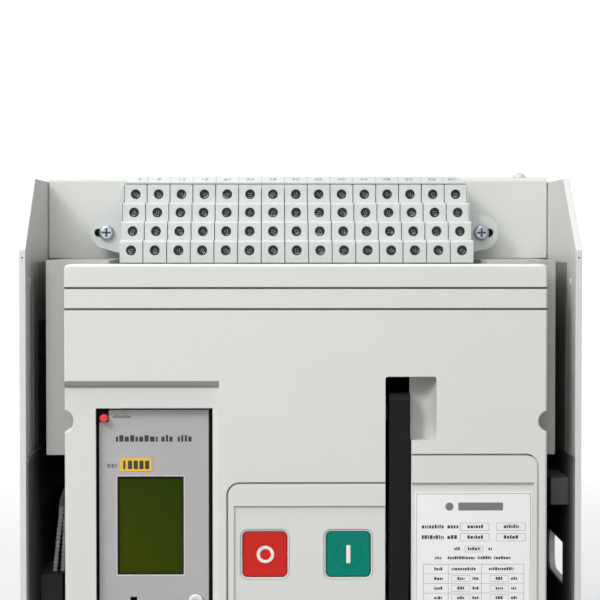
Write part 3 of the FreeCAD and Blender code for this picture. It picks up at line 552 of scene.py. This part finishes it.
def add_frame(shape, xs, ys, zs, line, inset=0.0):
    """Four bars inside xs, zs; the upright ones stop short of both ends by inset."""
    (x0, x1), (z0, z1) = xs, zs
    add_box(shape, xs, ys, (z1 - line, z1))
    add_box(shape, xs, ys, (z0, z0 + line))
    for bar in ((x0, x0 + line), (x1 - line, x1)):
        add_box(shape, bar, ys, (z0 + inset, z1 - inset))


def add_word(shape, x0, x1, z, height, ys, gap=0.28, seed=0):
    """A run of uneven short bars that stands for a printed word."""
    draw = random.Random(seed * 7919 + int(x0 * 10) + int(z * 10))
    x = x0
    while x < x1 - 0.3:
        width = min(draw.choice((0.55, 0.8, 1.0, 1.15)) * height * 0.55, x1 - x)
        top = height / 2 if draw.random() < 0.45 else height / 2 * 0.62
        add_box(shape, (x, x + width), ys, (z - height / 2 * 0.72, z + top))
        x += width + gap * height / 1.6


def add_dome(shape, x, y, z, radius, height):
    """A dome that bulges forward from a flat back at y."""
    steps, rings = 24, 5
    loops = []
    for ring in range(rings):
        rise = pi / 2 * ring / rings
        loops.append(circle(shape, x, y - height * sin(rise), z, radius * cos(rise), steps))
    tip = shape.verts.new((x * MM, (y - height) * MM, z * MM))
    for lower, upper in zip(loops, loops[1:]):
        skin(shape, lower, upper)
    for k in range(steps):
        shape.faces.new((loops[-1][k], loops[-1][(k + 1) % steps], tip))
    shape.faces.new(loops[0][::-1])


def round_edges(shape, edges, width, segments):
    bmesh.ops.bevel(shape, geom=edges, offset=width * MM, segments=segments, profile=0.5,
                    affect="EDGES")


def soften(shape, width):
    sharp = [edge for edge in shape.edges if edge.calc_face_angle(0) > 0.6]
    round_edges(shape, sharp, width, segments=1)


def add_tube(shape, path, radii, steps):
    """A round tube swept along path, with one radius per point."""
    side = Vector((1, 0, 0))
    loops = []
    for i, point in enumerate(path):
        along = (path[min(len(path) - 1, i + 1)] - path[max(0, i - 1)]).normalized()
        across = (side - along * side.dot(along)).normalized()
        upward = along.cross(across)
        loop = []
        for k in range(steps):
            turn = 2 * pi * k / steps
            arm = across * cos(turn) + upward * sin(turn)
            loop.append(shape.verts.new((point + arm * radii[i]) * MM))
        loops.append(loop)
    for first, second in zip(loops, loops[1:]):
        skin(shape, first, second)
    shape.faces.new(loops[0][::-1])
    shape.faces.new(loops[-1])


def smooth_path(points, step):
    """Catmull-Rom curve through the points, sampled about every step."""
    knots = [Vector(point) for point in points]
    knots = [knots[0] * 2 - knots[1]] + knots + [knots[-1] * 2 - knots[-2]]
    path = []
    for before, start, end, after in zip(knots, knots[1:], knots[2:], knots[3:]):
        count = max(2, int((end - start).length / step))
        for k in range(count):
            t = k / count
            path.append(0.5 * ((2 * start) + (end - before) * t
                               + (2 * before - 5 * start + 4 * end - after) * t * t
                               + (3 * start - before - 3 * end + after) * t ** 3))
    path.append(knots[-2])
    return path


# ---------------------------------------------------------------- rating plate
PLATE_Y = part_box("rating_plate")[0].y / MM
PLATE_PRINT = (PLATE_Y - 0.04, PLATE_Y - 0.01)
FIELD_TOPS = (174.8, 169.5)  # two rows of framed fields
FIELD_HEIGHT = 3.9
TABLE_XS = (60.9, 111.4)
TABLE_TOP, TABLE_ROW, TABLE_ROWS = 154.1, 4.85, 7


def build_plate_rules():
    table_bottom = TABLE_TOP - TABLE_ROW * TABLE_ROWS
    hair = 0.07  # half width of the table's inner lines
    shape = bmesh.new()

    def outline(x0, x1, z0, z1, line):
        add_frame(shape, (x0, x1), PLATE_PRINT, (z0, z1), line)

    outline(57.3, 114.6, 92.6, 189.5, 0.22)
    for top in FIELD_TOPS:
        for x0, x1 in ((79.4, 93.9), (97.6, 112.1)):
            outline(x0, x1, top - FIELD_HEIGHT, top, 0.15)
    outline(81.7, 90.9, 160.1, 163.3, 0.15)
    outline(*TABLE_XS, table_bottom, TABLE_TOP, 0.16)
    for k in range(1, TABLE_ROWS):
        z = TABLE_TOP - TABLE_ROW * k
        add_box(shape, TABLE_XS, PLATE_PRINT, (z - hair, z + hair))
    for x in (73.5, 90.1):
        add_box(shape, (x - hair, x + hair), PLATE_PRINT, (table_bottom, TABLE_TOP))
    for k in range(1, TABLE_ROWS - 1):
        z = TABLE_TOP - TABLE_ROW * k
        for x in (75.2, 94.4):
            outline(x, x + 9.2, z - 4.0, z - 0.85, 0.12)
    finish_piece(shape, "rating_plate_rules", MAT["ink_rule"], "breaker",
                 smooth=False)


# Words in the table, mm and seed: x start, x end, seed of the first row
ROW_LABEL = ((66.4, 70.8, 40),)
WIDE_CELLS = ((75.2, 87.6, 50), (93.8, 106.2, 60))
NARROW_CELLS = ((78.0, 81.6, 70), (85.6, 88.6, 80), (97.2, 100.8, 90), (104.9, 108.0, 100))


def build_plate_words():
    shape = bmesh.new()

    def word(x0, x1, z, height, seed):
        add_word(shape, x0, x1, z, height, PLATE_PRINT, seed=seed)

    for row, top in enumerate(FIELD_TOPS):
        for i, (x0, x1, height) in enumerate(((60.2, 71.2, 2.2), (73.0, 78.4, 2.2),
                                              (83.0, 90.8, 2.0), (101.2, 109.0, 2.0))):
            word(x0, x1, top - FIELD_HEIGHT / 2, height, seed=1 + 5 * row + i)
    for i, (x0, x1) in enumerate(((76.4, 79.2), (83.2, 89.4), (93.6, 95.6))):
        word(x0, x1, 161.7, 1.8, seed=21 + i)
    for x0, x1 in ((66.8, 69.9), (73.2, 86.8), (88.2, 95.0), (96.4, 104.8)):
        word(x0, x1, 157.2, 1.7, seed=30 + int(x0))
    for k in range(TABLE_ROWS):
        z = TABLE_TOP - TABLE_ROW * k - 2.45
        for x0, x1, seed in ROW_LABEL + (WIDE_CELLS if k in (0, TABLE_ROWS - 1)
                                         else NARROW_CELLS):
            word(x0, x1, z, 1.7, seed=seed + k)
    for k, z in enumerate((115.6, 112.2, 108.8, 105.4)):
        x = 62.0
        draw = random.Random(400 + k)
        while x < 104:
            width = draw.uniform(4, 11)
            word(x, min(x + width, 109), z, 1.4, seed=410 + k)
            x += width + 1.4
    finish_piece(shape, "rating_plate_marks", MAT["ink"], "breaker",
                 smooth=False)


def build_plate_header():
    shape = bmesh.new()
    for xs, radius in (((72.0, 76.0), 1.9), ((78.4, 100.8), 0.5)):
        add_rounded(shape, xs, PLATE_PRINT, (181.0, 185.0), radius)
    finish_piece(shape, "rating_plate_header_bar", MAT["ink_mid"], "breaker",
                 smooth=False)


# ------------------------------------------------------------------- trip unit
FASCIA_Y = -166.0
FASCIA_PRINT = (FASCIA_Y - 0.03, FASCIA_Y - 0.008)
KEY_X, KEY_ZS = -53.0, (134.3, 120.3, 106.3)  # menu, up, down
KEY_PRINT = (-167.24, -167.2)
LAMP_X, LAMP_ZS = -92.6, (124.6, 118.6, 112.6, 106.6, 100.6)


def build_sticker():
    shape = bmesh.new()
    add_rounded(shape, (-91.1, -74.8), (FASCIA_Y - 0.16, FASCIA_Y - 0.01), (199.8, 206.7), 0.5)
    finish_piece(shape, "rating_sticker", MAT["yellow"], "breaker", smooth=False)
    shape = bmesh.new()
    for k in range(5):
        x = -89.8 + 2.86 * k
        xs = (x, x + 2.1) if k else (x + 0.5, x + 1.6)  # the first mark is narrower
        add_rounded(shape, xs, (FASCIA_Y - 0.19, FASCIA_Y - 0.165), (201.1, 205.4), 0.4)
    finish_piece(shape, "rating_sticker_marks", MAT["ink"], "breaker",
                 smooth=False)


def build_fascia_words():
    shape = bmesh.new()
    for i, (x0, x1) in enumerate(((-93.0, -72.0), (-70.2, -63.8), (-62.0, -54.2))):
        add_word(shape, x0, x1, 216.3, 3.8, FASCIA_PRINT, gap=0.26, seed=500 + i)
    finish_piece(shape, "fascia_title_marks", MAT["ink"], "breaker",
                 smooth=False)
    shape = bmesh.new()
    add_word(shape, -94.4, -85.2, 227.4, 1.7, FASCIA_PRINT, seed=510)
    add_word(shape, -97.4, -92.6, 202.9, 3.0, FASCIA_PRINT, seed=511)
    for z in KEY_ZS:
        add_word(shape, -64.6, -58.6, z, 1.4, FASCIA_PRINT, seed=int(z))
    for z in LAMP_ZS:
        add_word(shape, -88.0, -76.0, z, 1.4, FASCIA_PRINT, seed=int(z * 3))
    finish_piece(shape, "fascia_small_marks", MAT["ink_mid"], "breaker",
                 smooth=False)


def build_display_surround():
    """A thin dark frame and a pale rim printed around it."""
    shape = bmesh.new()
    add_frame(shape, (-92.28, -59.02), (-165.75, -165.22), (147.92, 197.38),
              line=0.78, inset=0.78)
    finish_piece(shape, "display_frame", MAT["black_plastic"], "breaker",
                 smooth=False)
    shape = bmesh.new()
    add_frame(shape, (-92.75, -58.55), (FASCIA_Y - 0.05, FASCIA_Y - 0.008), (147.4, 197.85),
              line=0.35, inset=0.4)
    finish_piece(shape, "display_rim", MAT["symbol"], "breaker", smooth=False)


def build_fascia_edge_shade():
    """Painted shade: a dark line along the right and top edges of the fascia, where the
    opening's walls shade it.
    """
    low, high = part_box("trip_unit_fascia")
    right, top = high.x / MM, high.z / MM
    ys = (FASCIA_Y - 0.06, FASCIA_Y - 0.008)
    shape = bmesh.new()
    add_box(shape, (right - 0.55, right - 0.02), ys, (low.z / MM + 1.5, top - 0.52))
    add_box(shape, (low.x / MM + 1.5, right - 0.3), ys, (top - 0.5, top - 0.02))
    finish_piece(shape, "fascia_edge_shade", MAT["black_plastic"], "breaker",
                 smooth=False)


def build_lamps():
    looks = ("green_plastic", "yellow", "red_plastic", "red_plastic", "red_plastic")
    for i, (z, look) in enumerate(zip(LAMP_ZS, looks)):
        shape = bmesh.new()
        add_dome(shape, LAMP_X, FASCIA_Y, z, radius=1.15, height=0.75)
        finish_piece(shape, "signal_lamp_%d" % (i + 1), MAT[look], "breaker")


def build_key_symbols():
    """A ring with eight rays, and a triangle pointing up and one pointing down."""
    menu_z, up_z, down_z = KEY_ZS
    near, far, half = 1.55, 2.25, 0.14  # ray start, end and half width
    shape = bmesh.new()
    add_ring(shape, KEY_X, menu_z, 1.15, 0.8, KEY_PRINT, steps=40)
    for k in range(8):
        c, s = cos(pi / 4 * k), sin(pi / 4 * k)
        add_prism(shape, [(KEY_X + c * out - s * aside, menu_z + s * out + c * aside)
                          for out, aside in ((near, -half), (far, -half),
                                             (far, half), (near, half))], KEY_PRINT)
    finish_piece(shape, "key_menu_symbol", MAT["ink_mid"], "key_menu",
                 smooth=False)
    for key, z, way in (("key_up", up_z, 1), ("key_down", down_z, -1)):
        shape = bmesh.new()
        add_prism(shape, [(KEY_X - 1.9, z - way), (KEY_X + 1.9, z - way),
                          (KEY_X, z + way * 1.7)], KEY_PRINT)
        finish_piece(shape, key + "_symbol", MAT["ink_mid"], key,
                     smooth=False)


# ----------------------------------------------------------- buttons and flags
OFF_X, ON_X, BUTTON_Z = -17.95, 23.55, 158.95
FLAG_PRINT = (-168.66, -168.6)


def build_button_symbols():
    """A ring on the off button, a bar on the on button, and a fine circle around each."""
    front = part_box("off_button")[0].y / MM
    raised = (front - 0.10, front + 0.55)
    shape = bmesh.new()
    add_ring(shape, OFF_X, BUTTON_Z, 4.35, 2.75, raised)
    soften(shape, 0.05)
    finish_piece(shape, "off_button_ring", MAT["symbol"], "off_button")
    shape = bmesh.new()
    add_rounded(shape, (22.5, 24.6), raised, (154.4, 163.6), 0.5)
    soften(shape, 0.05)
    finish_piece(shape, "on_button_bar", MAT["symbol"], "on_button")
    for button, x, slot in (("off_button", OFF_X, "red_plastic"),
                            ("on_button", ON_X, "green_plastic")):
        shape = bmesh.new()
        add_ring(shape, x, BUTTON_Z, 6.7, 6.35, (front - 0.06, front + 0.3))
        soften(shape, 0.04)
        finish_piece(shape, button + "_dish_edge", MAT[slot], button)


def build_flag_symbols():
    """Open ring over closed bar; relaxed spring over compressed spring."""
    shape = bmesh.new()
    add_ring(shape, 23.5, 118.2, 3.6, 2.6, FLAG_PRINT, steps=48)
    add_rounded(shape, (22.6, 24.4), FLAG_PRINT, (101.6, 109.4), 0.3)
    finish_piece(shape, "contact_flag_symbols", MAT["symbol"], "contact_flag",
                 smooth=False)
    shape = bmesh.new()
    for z, turns, pitch in ((118.2, 4, 2.9), (105.4, 6, 1.5)):
        for k in range(turns):
            x = -18.2 - (turns - 1) * pitch / 2 + k * pitch
            add_prism(shape, [(x - 0.5, z - 3.2), (x, z - 3.2),
                              (x + 0.9, z + 3.2), (x + 0.4, z + 3.2)], FLAG_PRINT)
    finish_piece(shape, "spring_flag_symbols", MAT["ink"], "spring_flag",
                 smooth=False)


# ---------------------------------------------------------------------- cradle
def build_carrier_details():
    """Painted shade: dark floors in the cross recesses, black pieces behind the slotted ears,
    dark rings for dimples in the plate edges.
    """
    # painted shade: dark floors in the cross slots of the screw heads
    shape = bmesh.new()
    for x in (-104.3, 99.4):
        for half, zs in ((2.3, (319.62, 320.38)), (0.38, (317.7, 319.6)),
                         (0.38, (320.4, 322.3))):
            add_box(shape, (x - half, x + half), (-79.42, -79.22), zs)
    finish_piece(shape, "carrier_screw_recess_shade", MAT["recess"], "cradle",
                 smooth=False)
    # painted shade: black pieces behind the slots in the ears, so the slots look dark
    shape = bmesh.new()
    for xs in ((-110.9, -101.9), (97.1, 106.2)):
        add_rounded(shape, xs, (-73.6, -71.2), (317.75, 322.25), 2.2)
    finish_piece(shape, "carrier_slot_shade", MAT["black_plastic"], "cradle",
                 smooth=False)
    # painted shade: dark rings standing in for small dimples in the plate edges
    shape = bmesh.new()
    for x in (-139.7, 139.7):
        add_ring(shape, x, 307.2, 0.55, 0.12, (-165.04, -164.7), steps=20)
    finish_piece(shape, "plate_edge_dimple_shade", MAT["ink_mid"], "cradle")


TERMINAL_COLUMNS, TERMINAL_X0, TERMINAL_PITCH = 15, -87.8, 12.3
# z and y of each row of openings, from the top down
TERMINAL_ROWS = ((340.7, -89.0), (330.7, -102.0), (320.7, -115.0), (310.7, -127.0))


def build_screw_glints():
    """Painted highlights: a bright arc and two bright slot lines on each clamp screw, each
    turned differently.
    """
    draw = random.Random(77)
    steps = 10
    half = 0.10  # half width of a slot line
    shape = bmesh.new()
    for i in range(TERMINAL_COLUMNS):
        x = TERMINAL_X0 + TERMINAL_PITCH * i
        for k, (z, row_y) in enumerate(TERMINAL_ROWS):
            back = row_y + 2.18
            ys = (back - 0.10, back)
            start = radians(draw.uniform(-80, 20))
            span = radians(draw.uniform(45, 115))
            outer = draw.uniform(1.55, 2.1)
            inner = outer - draw.uniform(0.22, 0.42)
            turns = [start - span * t / steps for t in range(steps + 1)]
            add_prism(shape, [(x + radius * cos(turn), z + radius * sin(turn))
                              for radius, order in ((outer, turns), (inner, turns[::-1]))
                              for turn in order], ys)
            slot_turn = radians((37 * i + 61 * k) % 180)
            c, s = cos(slot_turn), -sin(slot_turn)
            for aside, reach in ((0.52, 1.25), (-0.52, 0.95)):
                corners = ((-reach, aside - half), (reach, aside - half),
                           (reach, aside + half), (-reach, aside + half))
                add_prism(shape, [(x + u * c - v * s, z + u * s + v * c)
                                  for u, v in corners], ys)
    finish_piece(shape, "terminal_screw_glints", MAT["glint"], "cradle",
                 smooth=False)


def build_end_plates():
    """Plates that close the terminal block's flanks behind the upper two rows."""
    levels = (((336.2, 346.0), -88.6), ((326.3, 336.1), -101.6))  # z span, front y
    shape = bmesh.new()
    for inner_x, side, thicknesses in ((-94.0, -1, (2.2, 1.15)), (90.55, 1, (0.9, 0.6))):
        for (zs, front), thickness in zip(levels, thicknesses):
            xs = sorted((inner_x, inner_x + side * thickness))
            add_box(shape, xs, (front, -72.4), zs)
    round_edges(shape, list(shape.edges), 0.25, segments=2)
    finish_piece(shape, "terminal_end_plates", MAT["terminal_plastic"], "cradle")


def build_indicator_zones():
    """Red, blue and green fields of the position indicator."""
    for i, (xs, color) in enumerate((((43.5, 72.5), (0.55, 0.03, 0.02)),
                                     ((73.0, 88.5), (0.03, 0.12, 0.42)),
                                     ((89.0, 106.5), (0.02, 0.28, 0.09)))):
        name = "indicator_zone_%d" % (i + 1)
        shape = bmesh.new()
        add_rounded(shape, xs, (-168.48, -168.41), (9.0, 20.0), 0.3)
        look = plastic(name, color, rough=0.4, vary=0.06, grain=0.06, wear=0.0)
        finish_piece(shape, name, look, "position_indicator", smooth=False)


# The number strip slopes up towards the back
STRIP_FRONT, STRIP_DEPTH = -89.0, 14.0
STRIP_LOW, STRIP_HIGH = 347.15, 350.6


def text_mesh(text, size):
    curve = bpy.data.curves.new("tmp_text", "FONT")
    curve.body = text
    curve.size = size
    curve.align_x = "CENTER"
    curve.align_y = "CENTER"
    curve.resolution_u = 3
    holder = bpy.data.objects.new("tmp_text", curve)
    scene.collection.objects.link(holder)
    bpy.context.view_layer.update()
    graph = bpy.context.evaluated_depsgraph_get()
    mesh = bpy.data.meshes.new_from_object(holder.evaluated_get(graph))
    bpy.data.objects.remove(holder)
    bpy.data.curves.remove(curve)
    return mesh


def build_number_strip():
    """Terminal numbers counted in fours, with a dividing line between neighbours."""
    rise = STRIP_HIGH - STRIP_LOW
    slope = atan2(rise, STRIP_DEPTH)
    lift = 0.12  # figures above the strip
    y = STRIP_FRONT + STRIP_DEPTH / 2 - sin(slope) * lift
    z = 0.5 * (STRIP_LOW + STRIP_HIGH) + cos(slope) * lift
    end_shift = {0: 1.8, TERMINAL_COLUMNS - 1: -1.8}  # the outer figures sit further in
    shape = bmesh.new()
    for i in range(TERMINAL_COLUMNS):
        x = TERMINAL_X0 + TERMINAL_PITCH * i + end_shift.get(i, 0.0)
        figure = text_mesh(str(4 * (i + 1)), size=0.0072)
        figure.transform(Matrix.Translation(Vector((x, y, z)) * MM)
                         @ Matrix.Rotation(slope, 4, "X")
                         @ Matrix.Diagonal((0.62, 1.0, 1.0, 1.0)))  # narrowed
        shape.from_mesh(figure)
        bpy.data.meshes.remove(figure)
    for i in range(1, TERMINAL_COLUMNS):
        x = TERMINAL_X0 - TERMINAL_PITCH / 2 + TERMINAL_PITCH * i
        corners = ((x - 0.1, -88.0), (x + 0.1, -88.0), (x + 0.1, -76.0), (x - 0.1, -76.0))
        shape.faces.new([
            shape.verts.new(Vector((corner_x, corner_y, STRIP_LOW + 0.1
                                    + (corner_y - STRIP_FRONT) / STRIP_DEPTH * rise)) * MM)
            for corner_x, corner_y in corners])
    grown = bmesh.ops.extrude_face_region(shape, geom=list(shape.faces))["geom"]
    bmesh.ops.translate(shape, vec=Vector((0, sin(slope), -cos(slope))) * 0.08 * MM,
                        verts=[item for item in grown if isinstance(item, bmesh.types.BMVert)])
    finish_piece(shape, "number_strip_figures", MAT["ink_faint"], "cradle",
                 smooth=False)


def build_cable_sleeves():
    """Two corrugated sleeves that rise on the left, then bend towards the back."""
    y = -100.0
    for i, (low_x, high_x) in enumerate(((-130.6, -127.6), (-126.4, -124.9))):
        path = smooth_path([
            (low_x, y, 139.2), (low_x * 0.6 + high_x * 0.4, y, 151), (high_x, y, 168),
            (high_x + 0.1, y + 1.5, 171.6), (high_x, y + 6, 173.4),
            (high_x - 2.0, y + 30, 173.8), (high_x - 5.2, y + 90, 173.8),
            (high_x - 5.4, 70, 173.8)], step=0.45)
        radii = [1.15 + 0.22 * sin(k * 1.35) for k in range(len(path))]
        shape = bmesh.new()
        add_tube(shape, path, radii, steps=18)
        finish_piece(shape, "switch_cable_sleeve_%d" % (i + 1), MAT["sleeve"], "cradle",
                     angle=80)


# ------------------------------------------------------------- stage and light
def floor_material():
    """Pale to the camera and fading to white far out; a dim diffuse to all other rays."""
    net = Net("floor_pale")
    tint = net.blend((0.85, 0.855, 0.86), (0.88, 0.885, 0.89), net.patches(scale=3))
    height = net.noise(scale=300, detail=2)
    net.finish(color=tint, rough=net.patches(scale=40, to=(0.55, 0.65)), spec=0.2,
               normal=net.bump(height, strength=0.03, distance=0.0005))
    length = net.node("ShaderNodeVectorMath", {0: net.place}, operation="LENGTH")
    far = net.remap(length.outputs["Value"], span=(0.40, 1.70))
    glow = net.node("ShaderNodeEmission", {0: WHITE}).outputs[0]
    dim = net.node("ShaderNodeBsdfDiffuse", {0: (0.20, 0.20, 0.20)}).outputs[0]
    seen = net.node("ShaderNodeMixShader", {0: far, 1: net.shader.outputs[0], 2: glow})
    camera_ray = net.node("ShaderNodeLightPath").outputs["Is Camera Ray"]
    pick = net.node("ShaderNodeMixShader", {0: camera_ray, 1: dim, 2: seen.outputs[0]})
    feed(net.tree, net.surface, pick.outputs[0])
    return net.material


def build_floor():
    material = floor_material()
    shape = bmesh.new()
    bmesh.ops.create_grid(shape, x_segments=2, y_segments=2, size=30.0)
    mesh = bpy.data.meshes.new("floor")
    shape.to_mesh(mesh)
    shape.free()
    floor = bpy.data.objects.new("floor", mesh)
    floor.location.z = -0.0005
    scene.collection.objects.link(floor)
    mesh.materials.append(material)


# Area lights: name, location (m), aim (m), side of the square (m), power (W), color
LIGHTS = (
    ("key", (-1.15, -1.78, 1.62), (0, -0.12, 0.2), 0.72, 24, (1.0, 0.997, 0.985)),
    ("front_high", (-0.1, -2.2, 1.75), (0, -0.12, 0.2), 1.2, 9.5, (1.0, 1.0, 0.995)),
    ("front_low", (-0.15, -2.5, 0.40), (0, -0.12, 0.15), 1.1, 6.0, WHITE),
    ("front_right", (0.85, -2.1, 1.15), (0, -0.12, 0.2), 0.7, 2.0, WHITE),
    ("side_left", (-2.0, -1.15, 1.15), (0, -0.12, 0.2), 0.8, 4, WHITE),
    ("side_right", (1.5, -0.95, 1.85), (0, -0.12, 0.25), 0.9, 2.5, (0.985, 0.992, 1.0)),
    ("top", (-0.62, -0.42, 2.3), (0.05, -0.12, 0.25), 1.25, 19, WHITE),
    ("rim_back", (-0.6, 2.2, 1.6), (0, 0, 0.2), 1.4, 14, WHITE),
)


def aim_light(name, location, target, size, power, color):
    light = bpy.data.lights.new(name, "AREA")
    light.energy = power
    light.color = color
    light.shape = "RECTANGLE"
    light.size = size
    light.size_y = size
    holder = bpy.data.objects.new(name, light)
    holder.location = location
    aim = Vector(target) - Vector(location)
    holder.rotation_euler = aim.to_track_quat("-Z", "Y").to_euler()
    scene.collection.objects.link(holder)


def build_world():
    """White to the camera; as a light, a grey that brightens towards the zenith."""
    world = bpy.data.worlds.new("studio")
    scene.world = world
    world.use_nodes = True
    tree = world.node_tree
    ambient = tree.nodes["Background"]
    place = add_node(tree, "ShaderNodeTexCoord").outputs["Generated"]
    height = add_node(tree, "ShaderNodeSeparateXYZ", {0: place}).outputs[2]
    # heights -0.1..0.9 give strengths 0.15..0.40
    ramp = add_node(tree, "ShaderNodeMapRange", {0: height, 1: -0.1, 2: 0.9, 3: 0.15, 4: 0.40})
    feed(tree, ambient.inputs[0], WHITE)
    feed(tree, ambient.inputs[1], ramp.outputs[0])
    seen = add_node(tree, "ShaderNodeBackground", {"Color": WHITE, "Strength": 1.0})
    camera_ray = add_node(tree, "ShaderNodeLightPath").outputs["Is Camera Ray"]
    pick = add_node(tree, "ShaderNodeMixShader",
                    {0: camera_ray, 1: ambient.outputs[0], 2: seen.outputs[0]})
    feed(tree, tree.nodes["World Output"].inputs[0], pick.outputs[0])


CAMERA_YAW = 0.014319528   # radians to the right of +Y
CAMERA_DROP = 0.029225524  # fall of the view line per metre forward


def build_camera():
    camera = bpy.data.cameras.new("camera")
    camera.sensor_width = 36.0
    camera.lens = 123.18
    camera.clip_start = 0.01
    camera.clip_end = 60.0
    holder = bpy.data.objects.new("camera", camera)
    holder.location = (-0.0153, -1.195, 0.3161)
    view = Vector((sin(CAMERA_YAW), cos(CAMERA_YAW), -CAMERA_DROP))
    holder.rotation_mode = "QUATERNION"
    holder.rotation_quaternion = view.to_track_quat("-Z", "Y")
    scene.collection.objects.link(holder)
    scene.camera = holder


build_plate_rules()
build_plate_words()
build_plate_header()
build_sticker()
build_fascia_words()
build_display_surround()
build_fascia_edge_shade()
build_lamps()
build_key_symbols()
build_button_symbols()
build_flag_symbols()
build_carrier_details()
build_screw_glints()
build_end_plates()
build_indicator_zones()
build_number_strip()
build_cable_sleeves()
build_floor()
for light in LIGHTS:
    aim_light(*light)
build_world()
build_camera()
scene.view_settings.view_transform = "Standard"
scene.view_settings.look = "None"
scene.view_settings.exposure = 0.06
scene.view_settings.gamma = 1.0
